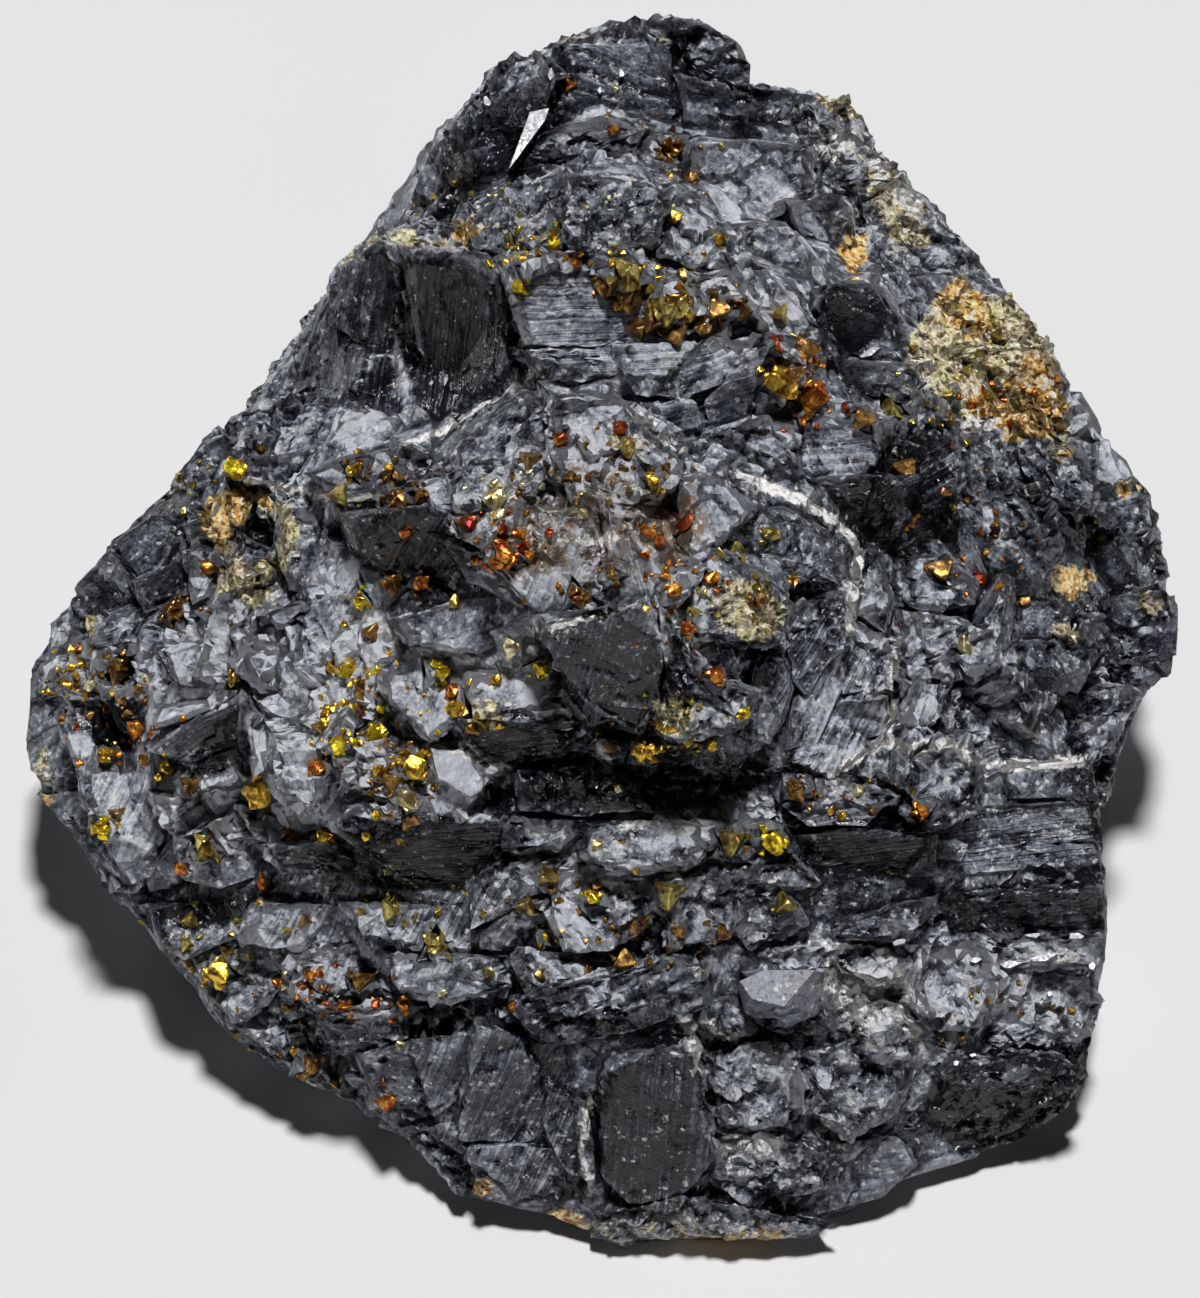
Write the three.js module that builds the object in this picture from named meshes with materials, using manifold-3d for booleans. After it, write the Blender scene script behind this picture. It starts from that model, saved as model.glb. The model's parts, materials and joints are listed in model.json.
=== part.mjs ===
// Chalcopyrite on sphalerite: a hand specimen of dark, blocky sphalerite with small brassy chalcopyrite
// crystals set in its stepped display face. Millimetres, +Z up, resting on a flat break at z = 0.
import * as THREE from "three";
import { ConvexGeometry } from "three/addons/geometries/ConvexGeometry.js";
import { ConvexHull } from "three/addons/math/ConvexHull.js";
import { mergeVertices } from "three/addons/utils/BufferGeometryUtils.js";
import Module from "manifold-3d";

const wasm = await Module();
wasm.setup();

// The display face slopes towards a viewer in front of and above the specimen. Places on it are given as
// that viewer sees them, in millimetres from its centre: a to the right, b upwards and h towards the viewer.
const VIEW_ELEVATION = THREE.MathUtils.degToRad(55);
const EYE_DISTANCE = 800;
const FACE_CENTRE = new THREE.Vector3(0, 0, 42.6);

// Blocks: how deep the skirt of each goes, and how far it spreads along the lower and the upper side.
const SKIRT_DEPTH = 5.5;
const SKIRT_UNDER = 0.2;
const SKIRT_OVER = 2.6;

// Slabs of the broken back: how many in a row round it, and how proud each stands.
const BACK_SLABS = 9;
const SLAB_PROUD = 0.8;

// Crystals, as shares of their width: the cut at the tip, how far the middle stands out of the host and how
// flat a standing point is. The gap to the seat's wall is in millimetres.
const CORNER_CUT = 0.13;
const FACE_PROUD = 0.04;
const POINT_PROUD = 0.02;
const POINT_SQUASH = 0.75;
const SEAT_GAP = 0.25;

// Corners of the broad lie of the display face, from the crest down: a, b, h.
const FACE_LIE = [
  [0, 60, -27], [10, 61, -29], [-10, 55, -24], [0, 50, -14], [12, 52, -19], [21, 52, -24], [-15, 47, -20],
  [-5, 44, 1], [5, 43, 1], [14, 38, 0], [-10, 40, -2], [0, 36, 3], [8, 34, 4], [18, 32, 1], [0, 27, 3],
  [-12, 25, -4], [6, 23, 5], [15, 21, 4], [-20, 38, -13], [-26, 32, -17], [-16, 31, -9], [-25, 26, -15],
  [-19, 22, -4], [18, 42, -13], [15, 48, -16], [25, 33, -5], [28, 25, -4], [24, 18, 2], [30, 44, -26],
  [36, 37, -26], [40, 30, -22], [34, 29, -14], [38, 24, -14], [45, 22, -22], [31, 14, -3], [38, 13, -9],
  [47, 12, -19], [53, 8, -25], [35, 5, -4], [44, 1, -13], [52, 1, -23], [28, 6, 0],
  [-10, 20, 11], [0, 20, 16], [10, 17, 13], [18, 11, 9], [0, 10, 20], [8, 8, 19], [16, 4, 13], [-13, 9, 12],
  [-6, 4, 17], [4, 3, 21], [3, -6, 15], [10, -7, 14], [21, 3, 7], [22, -5, 4], [17, -9, 7], [28, -6, 0],
  [5, -13, 4], [-6, -11, 7], [13, -13, 5], [21, -13, 5], [-20, 16, 3], [-28, 18, -6], [-38, 18, -20],
  [-34.7, 11.5, -14], [-31, 15, -8], [-40, 11, -15], [-31, 8, -6], [-38, 6, -11], [-45, 10, -20],
  [-24, 8, 5],
  [-30, 0, 0], [-40, 1, -9], [-50, 4, -22], [-52, -4, -21], [-44, -4, -11], [-36, -4, -3], [-24, -4, 6],
  [-16, 0, 10], [-12, -6, 9], [-38, -10, -5], [-50, -10, -18], [-47, -15, -14], [-40, -19, -12],
  [-31, -13, 1],
  [-22, -13, 4], [-30, -20, -6], [-17, -17, 2], [-10, -15, 5], [0, -18, 6], [10, -18, 6], [4, -25, 4],
  [18, -23, 4], [-10, -24, 2], [-20, -26, -2], [-32, -28, -9], [-40, -30, -14], [-28, -36, -9],
  [-15, -32, -1],
  [-10, -38, -2], [0, -34, 2], [12, -35, 2], [20, -32, 2], [-20, -42, -8], [-12, -47, -6], [-4, -50, -5],
  [5, -46, -2], [5, -55, -6], [15, -45, -2], [15, -55, -6], [25, -42, -3], [24, -52, -7], [35, -40, -6],
  [44, -40, -11], [42, -31, -6], [30, -29, 0], [29, -20, 2], [41, -20, -3], [47, -21, -8], [35, -13, 0],
  [46, -12, -7],
];

// The edge of the display face, clockwise from the crest: a, b, h.
const FACE_EDGE = [
  [5, 63.2, -30], [10, 63, -31], [13.5, 60.5, -31], [15, 56, -30], [20, 55.7, -29], [25, 55, -30],
  [28, 50, -30],
  [35, 42, -31], [40, 36, -31], [45, 30, -29], [47, 27, -28], [50, 21.5, -28], [55, 15.5, -29],
  [56.5, 7, -29],
  [58.3, 2, -28], [57, -2, -28], [55, -3.5, -28], [51.5, -9, -22], [49.5, -12, -14], [50, -17, -13],
  [50.8, -28, -13], [49.8, -36, -14], [48.3, -44, -14], [42, -49, -13], [31, -54, -12], [25, -58, -11],
  [15, -61, -9], [3, -61.9, -8], [-6, -56.5, -9], [-13, -55, -10], [-20, -48.5, -12], [-24, -45, -13],
  [-31, -42, -14], [-37, -38.5, -16], [-42, -30, -18], [-48.5, -24.5, -20], [-54, -17, -23], [-58, -9, -26],
  [-57.3, -6.5, -26], [-57, -2, -27], [-53.3, 4, -27], [-49, 10.5, -27], [-43, 16, -27], [-40, 20.5, -26],
  [-33, 24.5, -24], [-30, 25.5, -23], [-30.3, 29, -24], [-26, 38, -25], [-22, 42, -26], [-19.5, 43, -26],
  [-17, 50.5, -28], [-10.5, 58, -29], [-4, 61, -30], [0, 62.3, -30],
];

// Corners of the sides and back, and of the flat break underneath: x, y, z.
const BODY_CORNERS = [
  [-12, 68, 44], [9, 71, 42], [26, 62, 37], [-27, 52, 37], [41, 46, 30], [-38, 37, 30], [50, 32, 22],
  [-48, 24, 24],
  [14, 70, 23], [-10, 67, 20], [34, 56, 18], [-30, 50, 17], [46, 38, 12], [-46, 22, 11], [56, 19, 8],
  [-52, 4, 9],
  [56, 22, 16], [-54, 12, 18], [0, 66, 8], [-48, -8, 7], [50, -4, 10], [-28, -27, 4], [50, -16, 8],
];
const BREAK_CORNERS = [
  [-45, -7], [-42, -14], [-27, -27], [-12, -36], [5, -42], [24, -39], [38, -30], [46, -22], [44, -6],
  [52, 12],
  [49, 27], [38, 42], [20, 55], [-2, 59], [-22, 50], [-38, 32], [-46, 12],
];

// Cleavage blocks, steps and ledges of the display face. Each row: how proud the middle of the top stands,
// how much the top rises to the right and upwards per millimetre, and the outline of the top.
const BLOCKS = {
  crest: [
    [2.5, 0.1, -0.2, [[-4, 60.5], [0, 62.2], [4, 62], [7, 59], [8, 54], [4, 50], [-3, 51.5], [-5.5, 56]]],
    [3, -0.2, 0.4, [[4.5, 62.8], [9.5, 63.2], [13.5, 60.8], [14.9, 58.5], [14.8, 56], [9, 56.5], [5, 58]]],
    [3, 0.6, 0.1, [[-10.5, 57.8], [-6.5, 60], [-4.5, 57], [-6, 53], [-9.3, 47.8], [-11.5, 52]]],
    [4.5, -0.2, -0.6, [[-9.3, 48], [-7, 50.8], [-5, 52.3], [-5.3, 54], [-6.3, 53.8], [-7.8, 51.5]]],
    [2.5, 0.7, 0.2, [[-18.7, 45.5], [-17, 50.3], [-14.5, 52], [-12.3, 49], [-13, 45.5], [-16, 44]]],
    [2, 0.6, 0, [[-15, 52], [-12.5, 55], [-10.5, 57.5], [-11, 52.5], [-12.3, 49.5]]],
    [1.2, 0, 0.5, [[-6, 51.5], [0, 53.5], [4, 52], [3.5, 48.5], [-3, 47.8], [-8, 48]]],
    [2.5, -0.2, 0.2, [[15, 56], [20, 55.6], [24.5, 55], [25, 52], [20, 50.3], [14.5, 51]]],
    [2, -0.2, 0.3, [[8, 57], [15, 56], [14.5, 51], [8.5, 51]]],
  ],
  right_rim: [
    [2.2, -0.4, 0, [[20, 50.5], [25, 52], [27.8, 50.2], [30, 47.2], [26, 45.5], [22, 47]]],
    [1.5, -0.25, -0.2, [[9.5, 50.5], [15, 50.8], [20, 50], [21.5, 46], [17, 43], [11, 43], [8.8, 46]]],
    [1.4, -0.3, -0.1, [[12, 42.5], [18, 43], [21, 39.5], [23.3, 36.5], [20.5, 34.5], [14.5, 38.5]]],
    [1.5, -0.3, 0.5, [[19, 44.5], [24, 45], [25, 41], [23.5, 37.5], [21, 39.5]]],
    [2.2, -0.4, -0.1, [[26, 45.3], [30, 47], [34, 43], [37, 39.5], [35, 37], [30, 38.5], [26.5, 41]]],
    [2, -0.35, -0.1,
      [[30, 37.8], [35, 37], [38, 37.5], [40, 35.5], [43.5, 31.5], [40, 29.5], [34, 30.5], [31.5, 34]]],
    [2.5, -0.25, 0.1,
      [[33, 29.8], [40, 29.3], [44.5, 30.5], [47, 26.5], [46.3, 22.8], [42, 21.6], [36.5, 22.8]]],
    [1.7, -0.3, 0.2,
      [[38.5, 21.8], [42, 21.3], [46.5, 22.5], [50, 21], [49.5, 18.5], [44, 16], [39.5, 17.5]]],
  ],
  right_lobe: [
    [1.7, -0.3, -0.1, [[44.5, 15.8], [50, 18.3], [54.5, 15.5], [55.3, 12], [50, 10.5], [45.5, 12]]],
    [1.7, -0.2, 0.3, [[46.5, 10.5], [51, 10.2], [55.8, 11.5], [56.3, 7.5], [53, 5], [48, 5.5]]],
    [2, -0.2, 0.4, [[50, 4.8], [56.8, 6], [58, 2.5], [57.8, -0.5], [53, -1.2], [49.5, 1]]],
    [1.5, 0, 0.6, [[48.5, -1.5], [54, -1.3], [57, -1.5], [54.5, -3.5], [52, -5.5], [49, -4.5]]],
    [1.7, -0.2, 0.3, [[43.5, -4.5], [50, -5], [53, -6], [51.5, -9], [47.5, -10], [43.5, -9]]],
    [1, 0.3, 0.8, [[36, -4], [40.5, -1.8], [43.5, -5.2], [43, -8.7], [38.5, -9.8], [35.5, -8]]],
    [2.2, -0.3, 0.1, [[40.5, 0.5], [45, 0.8], [48.5, -0.5], [47.5, -4.2], [42.5, -4], [41, -2]]],
    [2.5, -0.1, -0.1, [[39.5, 5], [45, 4.8], [49.5, 3], [48.5, 0.3], [42, 1], [38.5, 2.5]]],
    [2, -0.2, 0.2, [[38, 10], [42, 12.3], [45, 10.5], [43.5, 5.5], [40, 5.5], [37, 7.5]]],
    [1.7, -0.1, -0.2, [[29.5, 9], [34, 9.5], [37, 7], [37.5, 4.5], [32, 4], [29, 6]]],
    [2.2, -0.1, 0.1, [[29.7, 4], [34.5, 3.5], [38.5, 1.8], [37.3, -1.5], [33.5, -5], [30, -2]]],
    [1.8, -0.2, 0.3, [[30, -2.7], [33.3, -5.3], [34.8, -8.5], [31.5, -9.4], [29.8, -8]]],
  ],
  right_cliff: [
    [3, -0.3, 0.2,
      [[21.8, 34], [23.5, 36.6], [27.5, 36.5], [30, 33], [31.8, 29.5], [28.5, 28], [24, 30], [22.3, 31.5]]],
    [2, -0.1, 0.4, [[23.5, 29], [28, 27.8], [31.5, 28.5], [31, 24.5], [27, 25.5], [24, 26.5]]],
    [2.5, -0.1, 0.1, [[20.5, 24.5], [26, 24.8], [28.5, 22.5], [27.3, 18], [22, 17.3], [20.3, 19]]],
    [1.8, -0.1, 0.6, [[21, 17], [27, 17.6], [30.5, 16.5], [29.5, 11], [26.5, 10.5], [24.5, 13.5]]],
    [2.5, -0.4, 0.2, [[28, 22.5], [32.5, 25.5], [34.5, 24.5], [36, 21], [33, 19], [31.5, 16], [28, 18]]],
    [1.5, 0.4, 0.5, [[31.8, 16], [35, 19], [35.8, 13], [33.8, 11], [31, 11.5], [30.2, 14.5]]],
    [1.5, -0.4, 0.1, [[35.5, 20.5], [38.5, 21.5], [39.5, 16], [36.5, 13.5], [35.8, 16.5]]],
    [1.6, -0.1, 0.2, [[36, 13.2], [39.5, 15.8], [44, 15.5], [45.3, 11.5], [42.5, 12.6], [38.5, 10.3]]],
  ],
  brow: [
    [2, 0.3, -0.5,
      [[-12.5, 42.5], [-9.5, 46.3], [-4, 47.6], [-2, 44], [-4.5, 40.5], [-9.3, 39.5], [-12, 40]]],
    [2.5, 0, -0.5, [[-2.5, 44], [-3.5, 47.6], [3, 47], [7, 45.5], [6, 41], [0, 40], [-4, 40.5]]],
    [2, -0.3, -0.4, [[6.5, 41], [7.5, 45.5], [10, 44.6], [13, 41.5], [14.5, 38.8], [10, 38], [6, 39.3]]],
    [2.5, -0.5, -0.1, [[13.5, 39], [15, 38.8], [19, 35], [22.5, 31.5], [21, 29], [17, 31.5], [13, 35]]],
    [2.5, 0, 0.35,
      [[-8.7, 38.5], [-3, 40], [3, 39.5], [6, 36], [5, 32.5], [0, 30.5], [-7.5, 30.5], [-8.6, 34]]],
    [1.7, 0.1, 0.5, [[-7.5, 30], [0, 30], [2, 28], [-2, 26.8], [-5.5, 27]]],
    [2.2, -0.1, 0.2, [[2.5, 30.2], [9.5, 30.5], [15.5, 31], [13.5, 27.5], [8.5, 25], [3.5, 25.5]]],
    [2.8, -0.1, -0.1, [[5.5, 36], [8, 37.5], [13, 37.5], [16, 33.5], [12.5, 32], [7, 31.8], [4.7, 33.5]]],
    [2.3, -0.3, 0.7,
      [[13.8, 27.5], [17, 31], [21, 28], [22.3, 24.5], [17, 24], [10.5, 22.3], [10.3, 24.5]]],
    [1.2, 0, 0.3, [[4.5, 24.5], [9.8, 24.8], [10.3, 21.8], [7.5, 20.3], [4.8, 20.5]]],
    [1, -0.1, 0.1, [[11, 21.8], [16.5, 23.5], [20, 21.5], [19.8, 17], [14.5, 18], [11, 19.8]]],
  ],
  left_tower: [
    [2.7, 0.35, 0.6,
      [[-18.8, 39], [-12, 39], [-10, 37], [-9.3, 32], [-10.5, 28.5], [-16, 26.5], [-18, 30]]],
    [2.5, 0.5, 0.4, [[-26, 38], [-22, 41], [-19, 39.2], [-18, 33], [-19, 27.5], [-23, 30], [-27, 33]]],
    [1.5, 0.9, 0.3, [[-29.8, 28.5], [-27.8, 34], [-26, 37], [-26, 31], [-26.5, 26.5], [-30, 26]]],
    [3.5, 0.1, -0.6, [[-21.5, 42], [-15, 42.8], [-12.5, 41.5], [-13, 39.3], [-20, 39.5]]],
    [0.9, 0.2, 0, [[-23.5, 29.5], [-18.5, 30], [-17.8, 25.5], [-21.5, 25], [-25, 26.3]]],
  ],
  left_shoulder: [
    [1.6, 0.3, -0.4, [[-37.5, 22.3], [-35, 23.8], [-30.5, 25], [-28.5, 22.5], [-31, 20], [-36, 19.8]]],
    [1.6, 0.4, -0.3,
      [[-43, 16.5], [-42, 18], [-39.5, 20.5], [-37.5, 21.5], [-35.5, 18.5], [-37, 16.3], [-40, 15.8]]],
    [1, 0.1, -0.1, [[-34.5, 19], [-30, 19.8], [-27.5, 18.5], [-29.5, 16.5], [-35, 16.6]]],
    [2.5, 0.1, -0.2, [[-28.8, 17.8], [-26, 19.4], [-21, 19.8], [-20, 17.5], [-24, 15.5], [-27.5, 16]]],
    [2.2, -0.2, -0.1, [[-19.7, 20], [-16.5, 19.3], [-15.8, 17], [-18.5, 15.8], [-20.3, 17.3]]],
    [1.8, 0, 0.5, [[-27, 15.3], [-23, 16], [-18, 15.3], [-18.5, 13.5], [-22, 13], [-26.5, 13]]],
    [1.2, 0.1, 0.1, [[-32, 13.8], [-28.8, 13.8], [-26.5, 9], [-28, 5], [-31, 6], [-30, 10.5]]],
    [1.6, 0.4, -0.1, [[-48.5, 10.8], [-45, 13.5], [-41.5, 12.5], [-42, 9], [-46, 7]]],
    [1.6, 0.4, 0.3, [[-52.5, 6], [-49, 10], [-46.5, 6.8], [-44.5, 3.5], [-48, 1.5], [-53, 2.5]]],
    [1.8, -0.5, 0.6, [[-46, 6.5], [-42.5, 9], [-41, 6], [-43.5, 4], [-45.5, 3.8]]],
    [1.5, -0.2, -0.2, [[-41, 9.3], [-38, 7.5], [-37.5, 4.5], [-41, 5]]],
  ],
  pit_rim: [
    [1.5, 0, 0.2, [[-40, 14.5], [-35.5, 15.3], [-31.5, 14.5], [-33, 13.3], [-38, 12.8]]],
    [1.5, 0.2, 0, [[-40.3, 13.5], [-37.8, 12.5], [-37.2, 9.5], [-39.5, 8.5], [-41, 10]]],
    [1.2, -0.2, 0, [[-31.5, 14], [-30.5, 11], [-31.5, 8.2], [-32.8, 9], [-32.2, 12.5]]],
    [1.3, 0, 0.3, [[-37, 9], [-33, 8.3], [-31, 5.5], [-34, 4.8], [-37, 6.5]]],
  ],
  left_lobe: [
    [1.3, 0.2, 0, [[-49, 3.5], [-45, 4.3], [-44, 2], [-47.5, 0.3], [-50.5, 1]]],
    [1.3, -0.3, 0.1, [[-39.5, 3.6], [-37, 4.3], [-35.5, 3], [-36.5, 2], [-39, 2.3]]],
    [1.8, 0, 0.8, [[-33.5, 3.5], [-30, 5], [-28.3, 3.5], [-29, 2.8], [-33, 2.8]]],
    [1, 0.2, 0, [[-43, -0.5], [-38, 1.2], [-36, -1], [-37.5, -4], [-42, -3.5]]],
    [1, 0, -0.1, [[-36, 1], [-32, 0.5], [-30, -3], [-33, -4.5], [-36, -2.5]]],
    [1.5, 0.1, 0.1, [[-50, -0.5], [-46, 0.3], [-45, -2], [-48, -3], [-50.5, -2.5]]],
    [1.3, 0.5, 0.1, [[-57, -3.5], [-55, -0.5], [-52, 0.2], [-51, -3], [-53.5, -5], [-57, -5]]],
    [1, 0.4, 0.8, [[-53, -5], [-50, -5.2], [-46, -10.5], [-48, -10.8], [-51.5, -8]]],
    [2, 0.1, 0.2, [[-49.8, -4], [-46, -4], [-45, -6.5], [-46.5, -9], [-48, -8]]],
    [2.5, 0.2, 0.5, [[-45, -10], [-41.5, -7.5], [-36, -5], [-35, -5.8], [-35.8, -9], [-41, -11.3]]],
    [2.3, 0, -0.4, [[-45, -8], [-44, -5.5], [-39, -5.2], [-36.5, -4.8], [-41, -6.8]]],
    [2.2, -0.6, 0, [[-35.5, -6], [-33.5, -6.5], [-33.3, -11.5], [-34.5, -12.3], [-36, -9.5]]],
    [1.8, 0.1, 0.6, [[-41, -11.6], [-36.3, -10], [-34.7, -12.5], [-37, -13.7], [-41, -13.8]]],
    [1.3, 0.4, 0.1, [[-57.5, -9.5], [-54, -7.5], [-50, -10], [-50.5, -13.5], [-54.5, -14], [-57, -12]]],
    [1.2, 0.4, 0.2, [[-56, -14.5], [-51, -14], [-49, -16.5], [-51.5, -19], [-54, -17]]],
    [2, 0.3, 0.2, [[-49.3, -17], [-45, -15], [-43.5, -18], [-46, -23.8], [-49, -24.3], [-50, -21]]],
    [1.8, 0, 0, [[-44.5, -14.6], [-39, -14.5], [-36.5, -16], [-41.5, -18.3], [-43.3, -18]]],
    [1.5, 0.3, 0.6, [[-45.5, -22.5], [-42.5, -18.5], [-40, -19.3], [-42, -23.5], [-45, -24]]],
    [2.3, 0, 0.3, [[-41.5, -19], [-36, -16.5], [-33.5, -19], [-34, -22.5], [-38, -23.8], [-41.7, -23]]],
    [1.5, 0.1, 0.1, [[-36, -15.8], [-33, -16.5], [-31, -18.5], [-32.5, -20], [-34.5, -18.5]]],
    [1.3, 0.1, -0.1, [[-33, -8], [-29.5, -7.5], [-27, -12], [-29, -16.5], [-32, -14]]],
  ],
  middle_steps: [
    [2.5, 0, 0.1,
      [[-25.5, -9.3], [-20, -9], [-15, -10.3], [-11.5, -13], [-14, -17], [-20, -15.3], [-25, -14]]],
    [3.2, -0.3, 0, [[-17, -9.8], [-13, -10.2], [-10, -12.3], [-13, -14.5], [-16.3, -13]]],
    [3, 0, 0.9,
      [[-26.5, -17.3], [-24, -15.3], [-16, -17.5], [-9.5, -17.3], [-11.5, -21.5], [-15, -23.5],
        [-20, -23]]],
    [1.3, 0, 0.8, [[-33, -20], [-28, -19.3], [-25.5, -20.5], [-20.5, -23.3], [-24, -24.5], [-31, -24]]],
    [2, 0.1, -0.2, [[-21.5, -2.5], [-18, -0.5], [-14, -2.5], [-13.5, -6.5], [-17, -9], [-21, -5.5]]],
    [2, -0.1, -0.3, [[-13, -2.5], [-5.5, -2.3], [-2.5, -6], [-2, -8.2], [-8, -6.8], [-12.5, -6.5]]],
    [1.5, 0, 0.9, [[-13.5, -7], [-8, -7.2], [-3, -8.7], [-2, -10.5], [-8, -12.5], [-13.8, -10]]],
    [1.3, 0.1, 0.2, [[-20, 3], [-14, 5], [-8, 5.5], [-7, 2.3], [-12, -0.5], [-19, 0.5]]],
    [1.5, 0, 0.5, [[-8, -12.5], [-2.5, -11.5], [1.5, -13.5], [5, -16], [-1, -16.5], [-8, -16]]],
    [1.3, 0, 0.3, [[-9, -17], [-1.5, -17], [0, -18], [-5, -19.8], [-9.5, -19.5]]],
  ],
  nose: [
    [2.5, 0.4, 0.7, [[-24.5, 13], [-17, 14.5], [-14.5, 11.5], [-9, 5.5], [-15, 6], [-21, 8], [-24, 10]]],
    [3, 0.3, 0.7, [[-15.5, 10.5], [-11.5, 9], [-7, 8], [-5.5, 3], [-9, 5], [-13, 6.8]]],
    [3, 0.35, -0.2, [[-14.8, 14.5], [-14, 20], [-9, 24.5], [-5, 24.5], [-4, 19], [-8, 14], [-13, 11.5]]],
    [3, -0.1, -0.25, [[-4.5, 25.3], [2, 25.2], [6.5, 21.5], [8.5, 17.5], [4, 14], [-3, 14.5], [-4.5, 19]]],
    [3, 0.15, 0.1, [[-13, 11], [-8, 14], [-1, 13.8], [1, 8], [-0.5, 4], [-5.5, 3], [-8, 8.2]]],
    [4, -0.1, 0.2, [[1.2, 13.3], [5.5, 12.8], [8, 8], [8.5, 4.5], [4.5, 4.6], [0.8, 4], [1.5, 8]]],
    [2.8, -0.3, -0.2, [[8, 17.3], [12.5, 17], [15, 14], [12, 10.5], [8.6, 9], [8, 13]]],
    [2, -0.4, -0.2, [[12.3, 10], [15.5, 14], [20, 12.5], [24, 9.5], [23.5, 7], [17, 7.5]]],
    [3, -0.3, 0.1, [[8.8, 8.5], [12, 9.8], [16.5, 7.3], [19, 4.5], [17.5, 0.5], [12, 0], [9, 2.5]]],
    [3.5, 0.1, 0.9,
      [[-5.5, 2.5], [0, 4], [4, 4.4], [6, 1], [6.3, -5], [3.5, -8.5], [-1, -5.5], [-4.5, -1]]],
    [3.5, -0.3, 0.5, [[6, 4.3], [8.3, 2], [9.5, -0.8], [9.8, -4], [7, -5.5], [6.6, -1]]],
    [3, -0.1, 0.4, [[6.5, -3], [11, -2], [15, -4.5], [14, -8], [8, -9], [5.5, -6.5]]],
    [3, 0, 0.5, [[0.5, -9], [5, -9.3], [9, -9.5], [8, -11], [3, -11.3], [0, -10.3]]],
  ],
  right_of_nose: [
    [1.8, -0.6, 0.2, [[15.5, -1.5], [18, 0.3], [19, -4], [17, -9.5], [14, -8.5], [15.3, -5]]],
    [2.2, -0.5, 0.3, [[18.8, 3.5], [24, 5.5], [24.5, 1], [20.5, -4.5], [19.3, -3]]],
    [1.5, -0.6, 0.2, [[20.8, -4.8], [24.3, 0.5], [25, -2.5], [21.5, -9], [18.5, -10], [19.3, -5]]],
    [2, -0.1, -0.1, [[25, 3], [28.8, 1], [29, -4], [24.3, -4.5], [24.8, -1]]],
    [0.9, 0.1, 0.7, [[24, -5.2], [28.8, -4.5], [28, -8.5], [24, -9.5], [22.5, -7.5]]],
    [1.3, -0.1, 0, [[24.7, 10], [28, 9.8], [29.3, 5], [28.5, 2], [25.2, 4]]],
    [1.3, 0, 0.2, [[20, -10.5], [23.5, -9.8], [24, -12.2], [20.5, -12.8], [18.3, -11.5]]],
  ],
  terraces: [
    [1.5, 0, -0.3, [[-1, -17.5], [6, -16.8], [12, -17.5], [11, -20.5], [4, -22.5], [-2, -20.8]]],
    [1.5, 0, 0, [[12, -18], [18.5, -17.5], [20, -20.3], [15.5, -21.5], [12, -20.8]]],
    [1.5, -0.1, 0.5, [[15.5, -21.8], [20, -20.8], [22, -23.5], [17, -24.5], [12, -25.5], [11.5, -23.5]]],
    [1.5, 0.2, -0.1, [[-9.5, -20.5], [-3, -20.3], [-5, -22.5], [-9, -26], [-13, -28], [-12.5, -23]]],
    [1.6, 0, 0, [[-5, -23], [-1, -21.5], [5, -23], [5.5, -27], [1, -30], [-3.5, -30.5], [-4.5, -27]]],
    [1, 0, 0.7, [[-12, -28.3], [-9, -26.5], [-5, -24.5], [-4.8, -27.5], [-8, -30], [-12, -30]]],
    [1.5, -0.1, 0.2, [[6, -23.3], [11, -22.5], [14, -25.5], [13, -29], [7, -29.5], [6, -27]]],
    [1, 0, 0.3, [[14.5, -25.3], [19.5, -25], [21, -27.5], [15, -30], [13.5, -28.5]]],
    [1.5, 0.2, -0.1, [[-45, -26], [-40, -25.3], [-33, -25.3], [-36, -28.5], [-41.5, -31], [-44, -29.5]]],
    [1.2, 0.1, 0.3, [[-33, -25.5], [-26, -25.5], [-24, -28], [-30, -30], [-36, -29]]],
    [1.3, 0, 0.1, [[-25, -25.5], [-17, -25.5], [-13.5, -25.5], [-13, -28.5], [-18, -30], [-23.5, -28]]],
    [1.5, 0.2, 0, [[-40.5, -31.5], [-35.5, -29.5], [-30, -30.5], [-32, -34], [-36, -37.5], [-39, -34.5]]],
    [1.3, 0, 0.2, [[-30, -30.8], [-24, -29.5], [-21, -31], [-23, -34], [-28, -36.5], [-31.5, -34]]],
    [1.6, 0, 0.1, [[-20.5, -30.8], [-14, -30.3], [-8, -31], [-9, -34], [-15, -35.5], [-20, -34]]],
    [1.3, 0, 0.1, [[-8, -30.5], [-3.5, -31], [1, -31.3], [-2, -33.5], [-7, -34.5]]],
    [0.9, 0, 0.7,
      [[-28, -36.5], [-21, -35.5], [-14, -36], [-9, -36], [-12, -37.8], [-20, -39.5], [-26, -40]]],
    [1.2, 0, 0.6,
      [[-8, -35], [-2, -33.5], [5, -31.5], [10.5, -31.5], [11, -35.5], [4, -38], [-4, -39.5], [-8, -37.5]]],
    [1, 0, 0, [[10.5, -35], [13.5, -34.5], [15.5, -38], [13, -38.8], [10, -37.5]]],
  ],
  lower_crystal: [
    [3.6, 0, -0.4, [[14.6, -32.4], [21.3, -32.2], [18, -36]]],
    [2.2, -0.1, 0.7, [[15.2, -34], [18, -35.5], [21.8, -33], [23, -37.8], [17.2, -38.2]]],
  ],
  lower_face: [
    [1, 0.1, 0.2, [[-36, -38], [-30, -37.5], [-25, -40.5], [-26, -43.5], [-30.5, -41.8]]],
    [1.5, 0.2, 0.5, [[-24, -40.5], [-18, -38.8], [-12, -38.5], [-12, -43], [-17, -46.5], [-22, -46]]],
    [1.8, -0.1, 0.6,
      [[-12, -38.3], [-9, -38.3], [-6, -42], [-5.5, -46], [-9, -49], [-14, -49], [-12.5, -43]]],
    [1.2, 0.4, 0.4, [[-19.5, -48], [-15, -47.5], [-13, -50], [-13.5, -54.5], [-16, -51.5]]],
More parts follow.
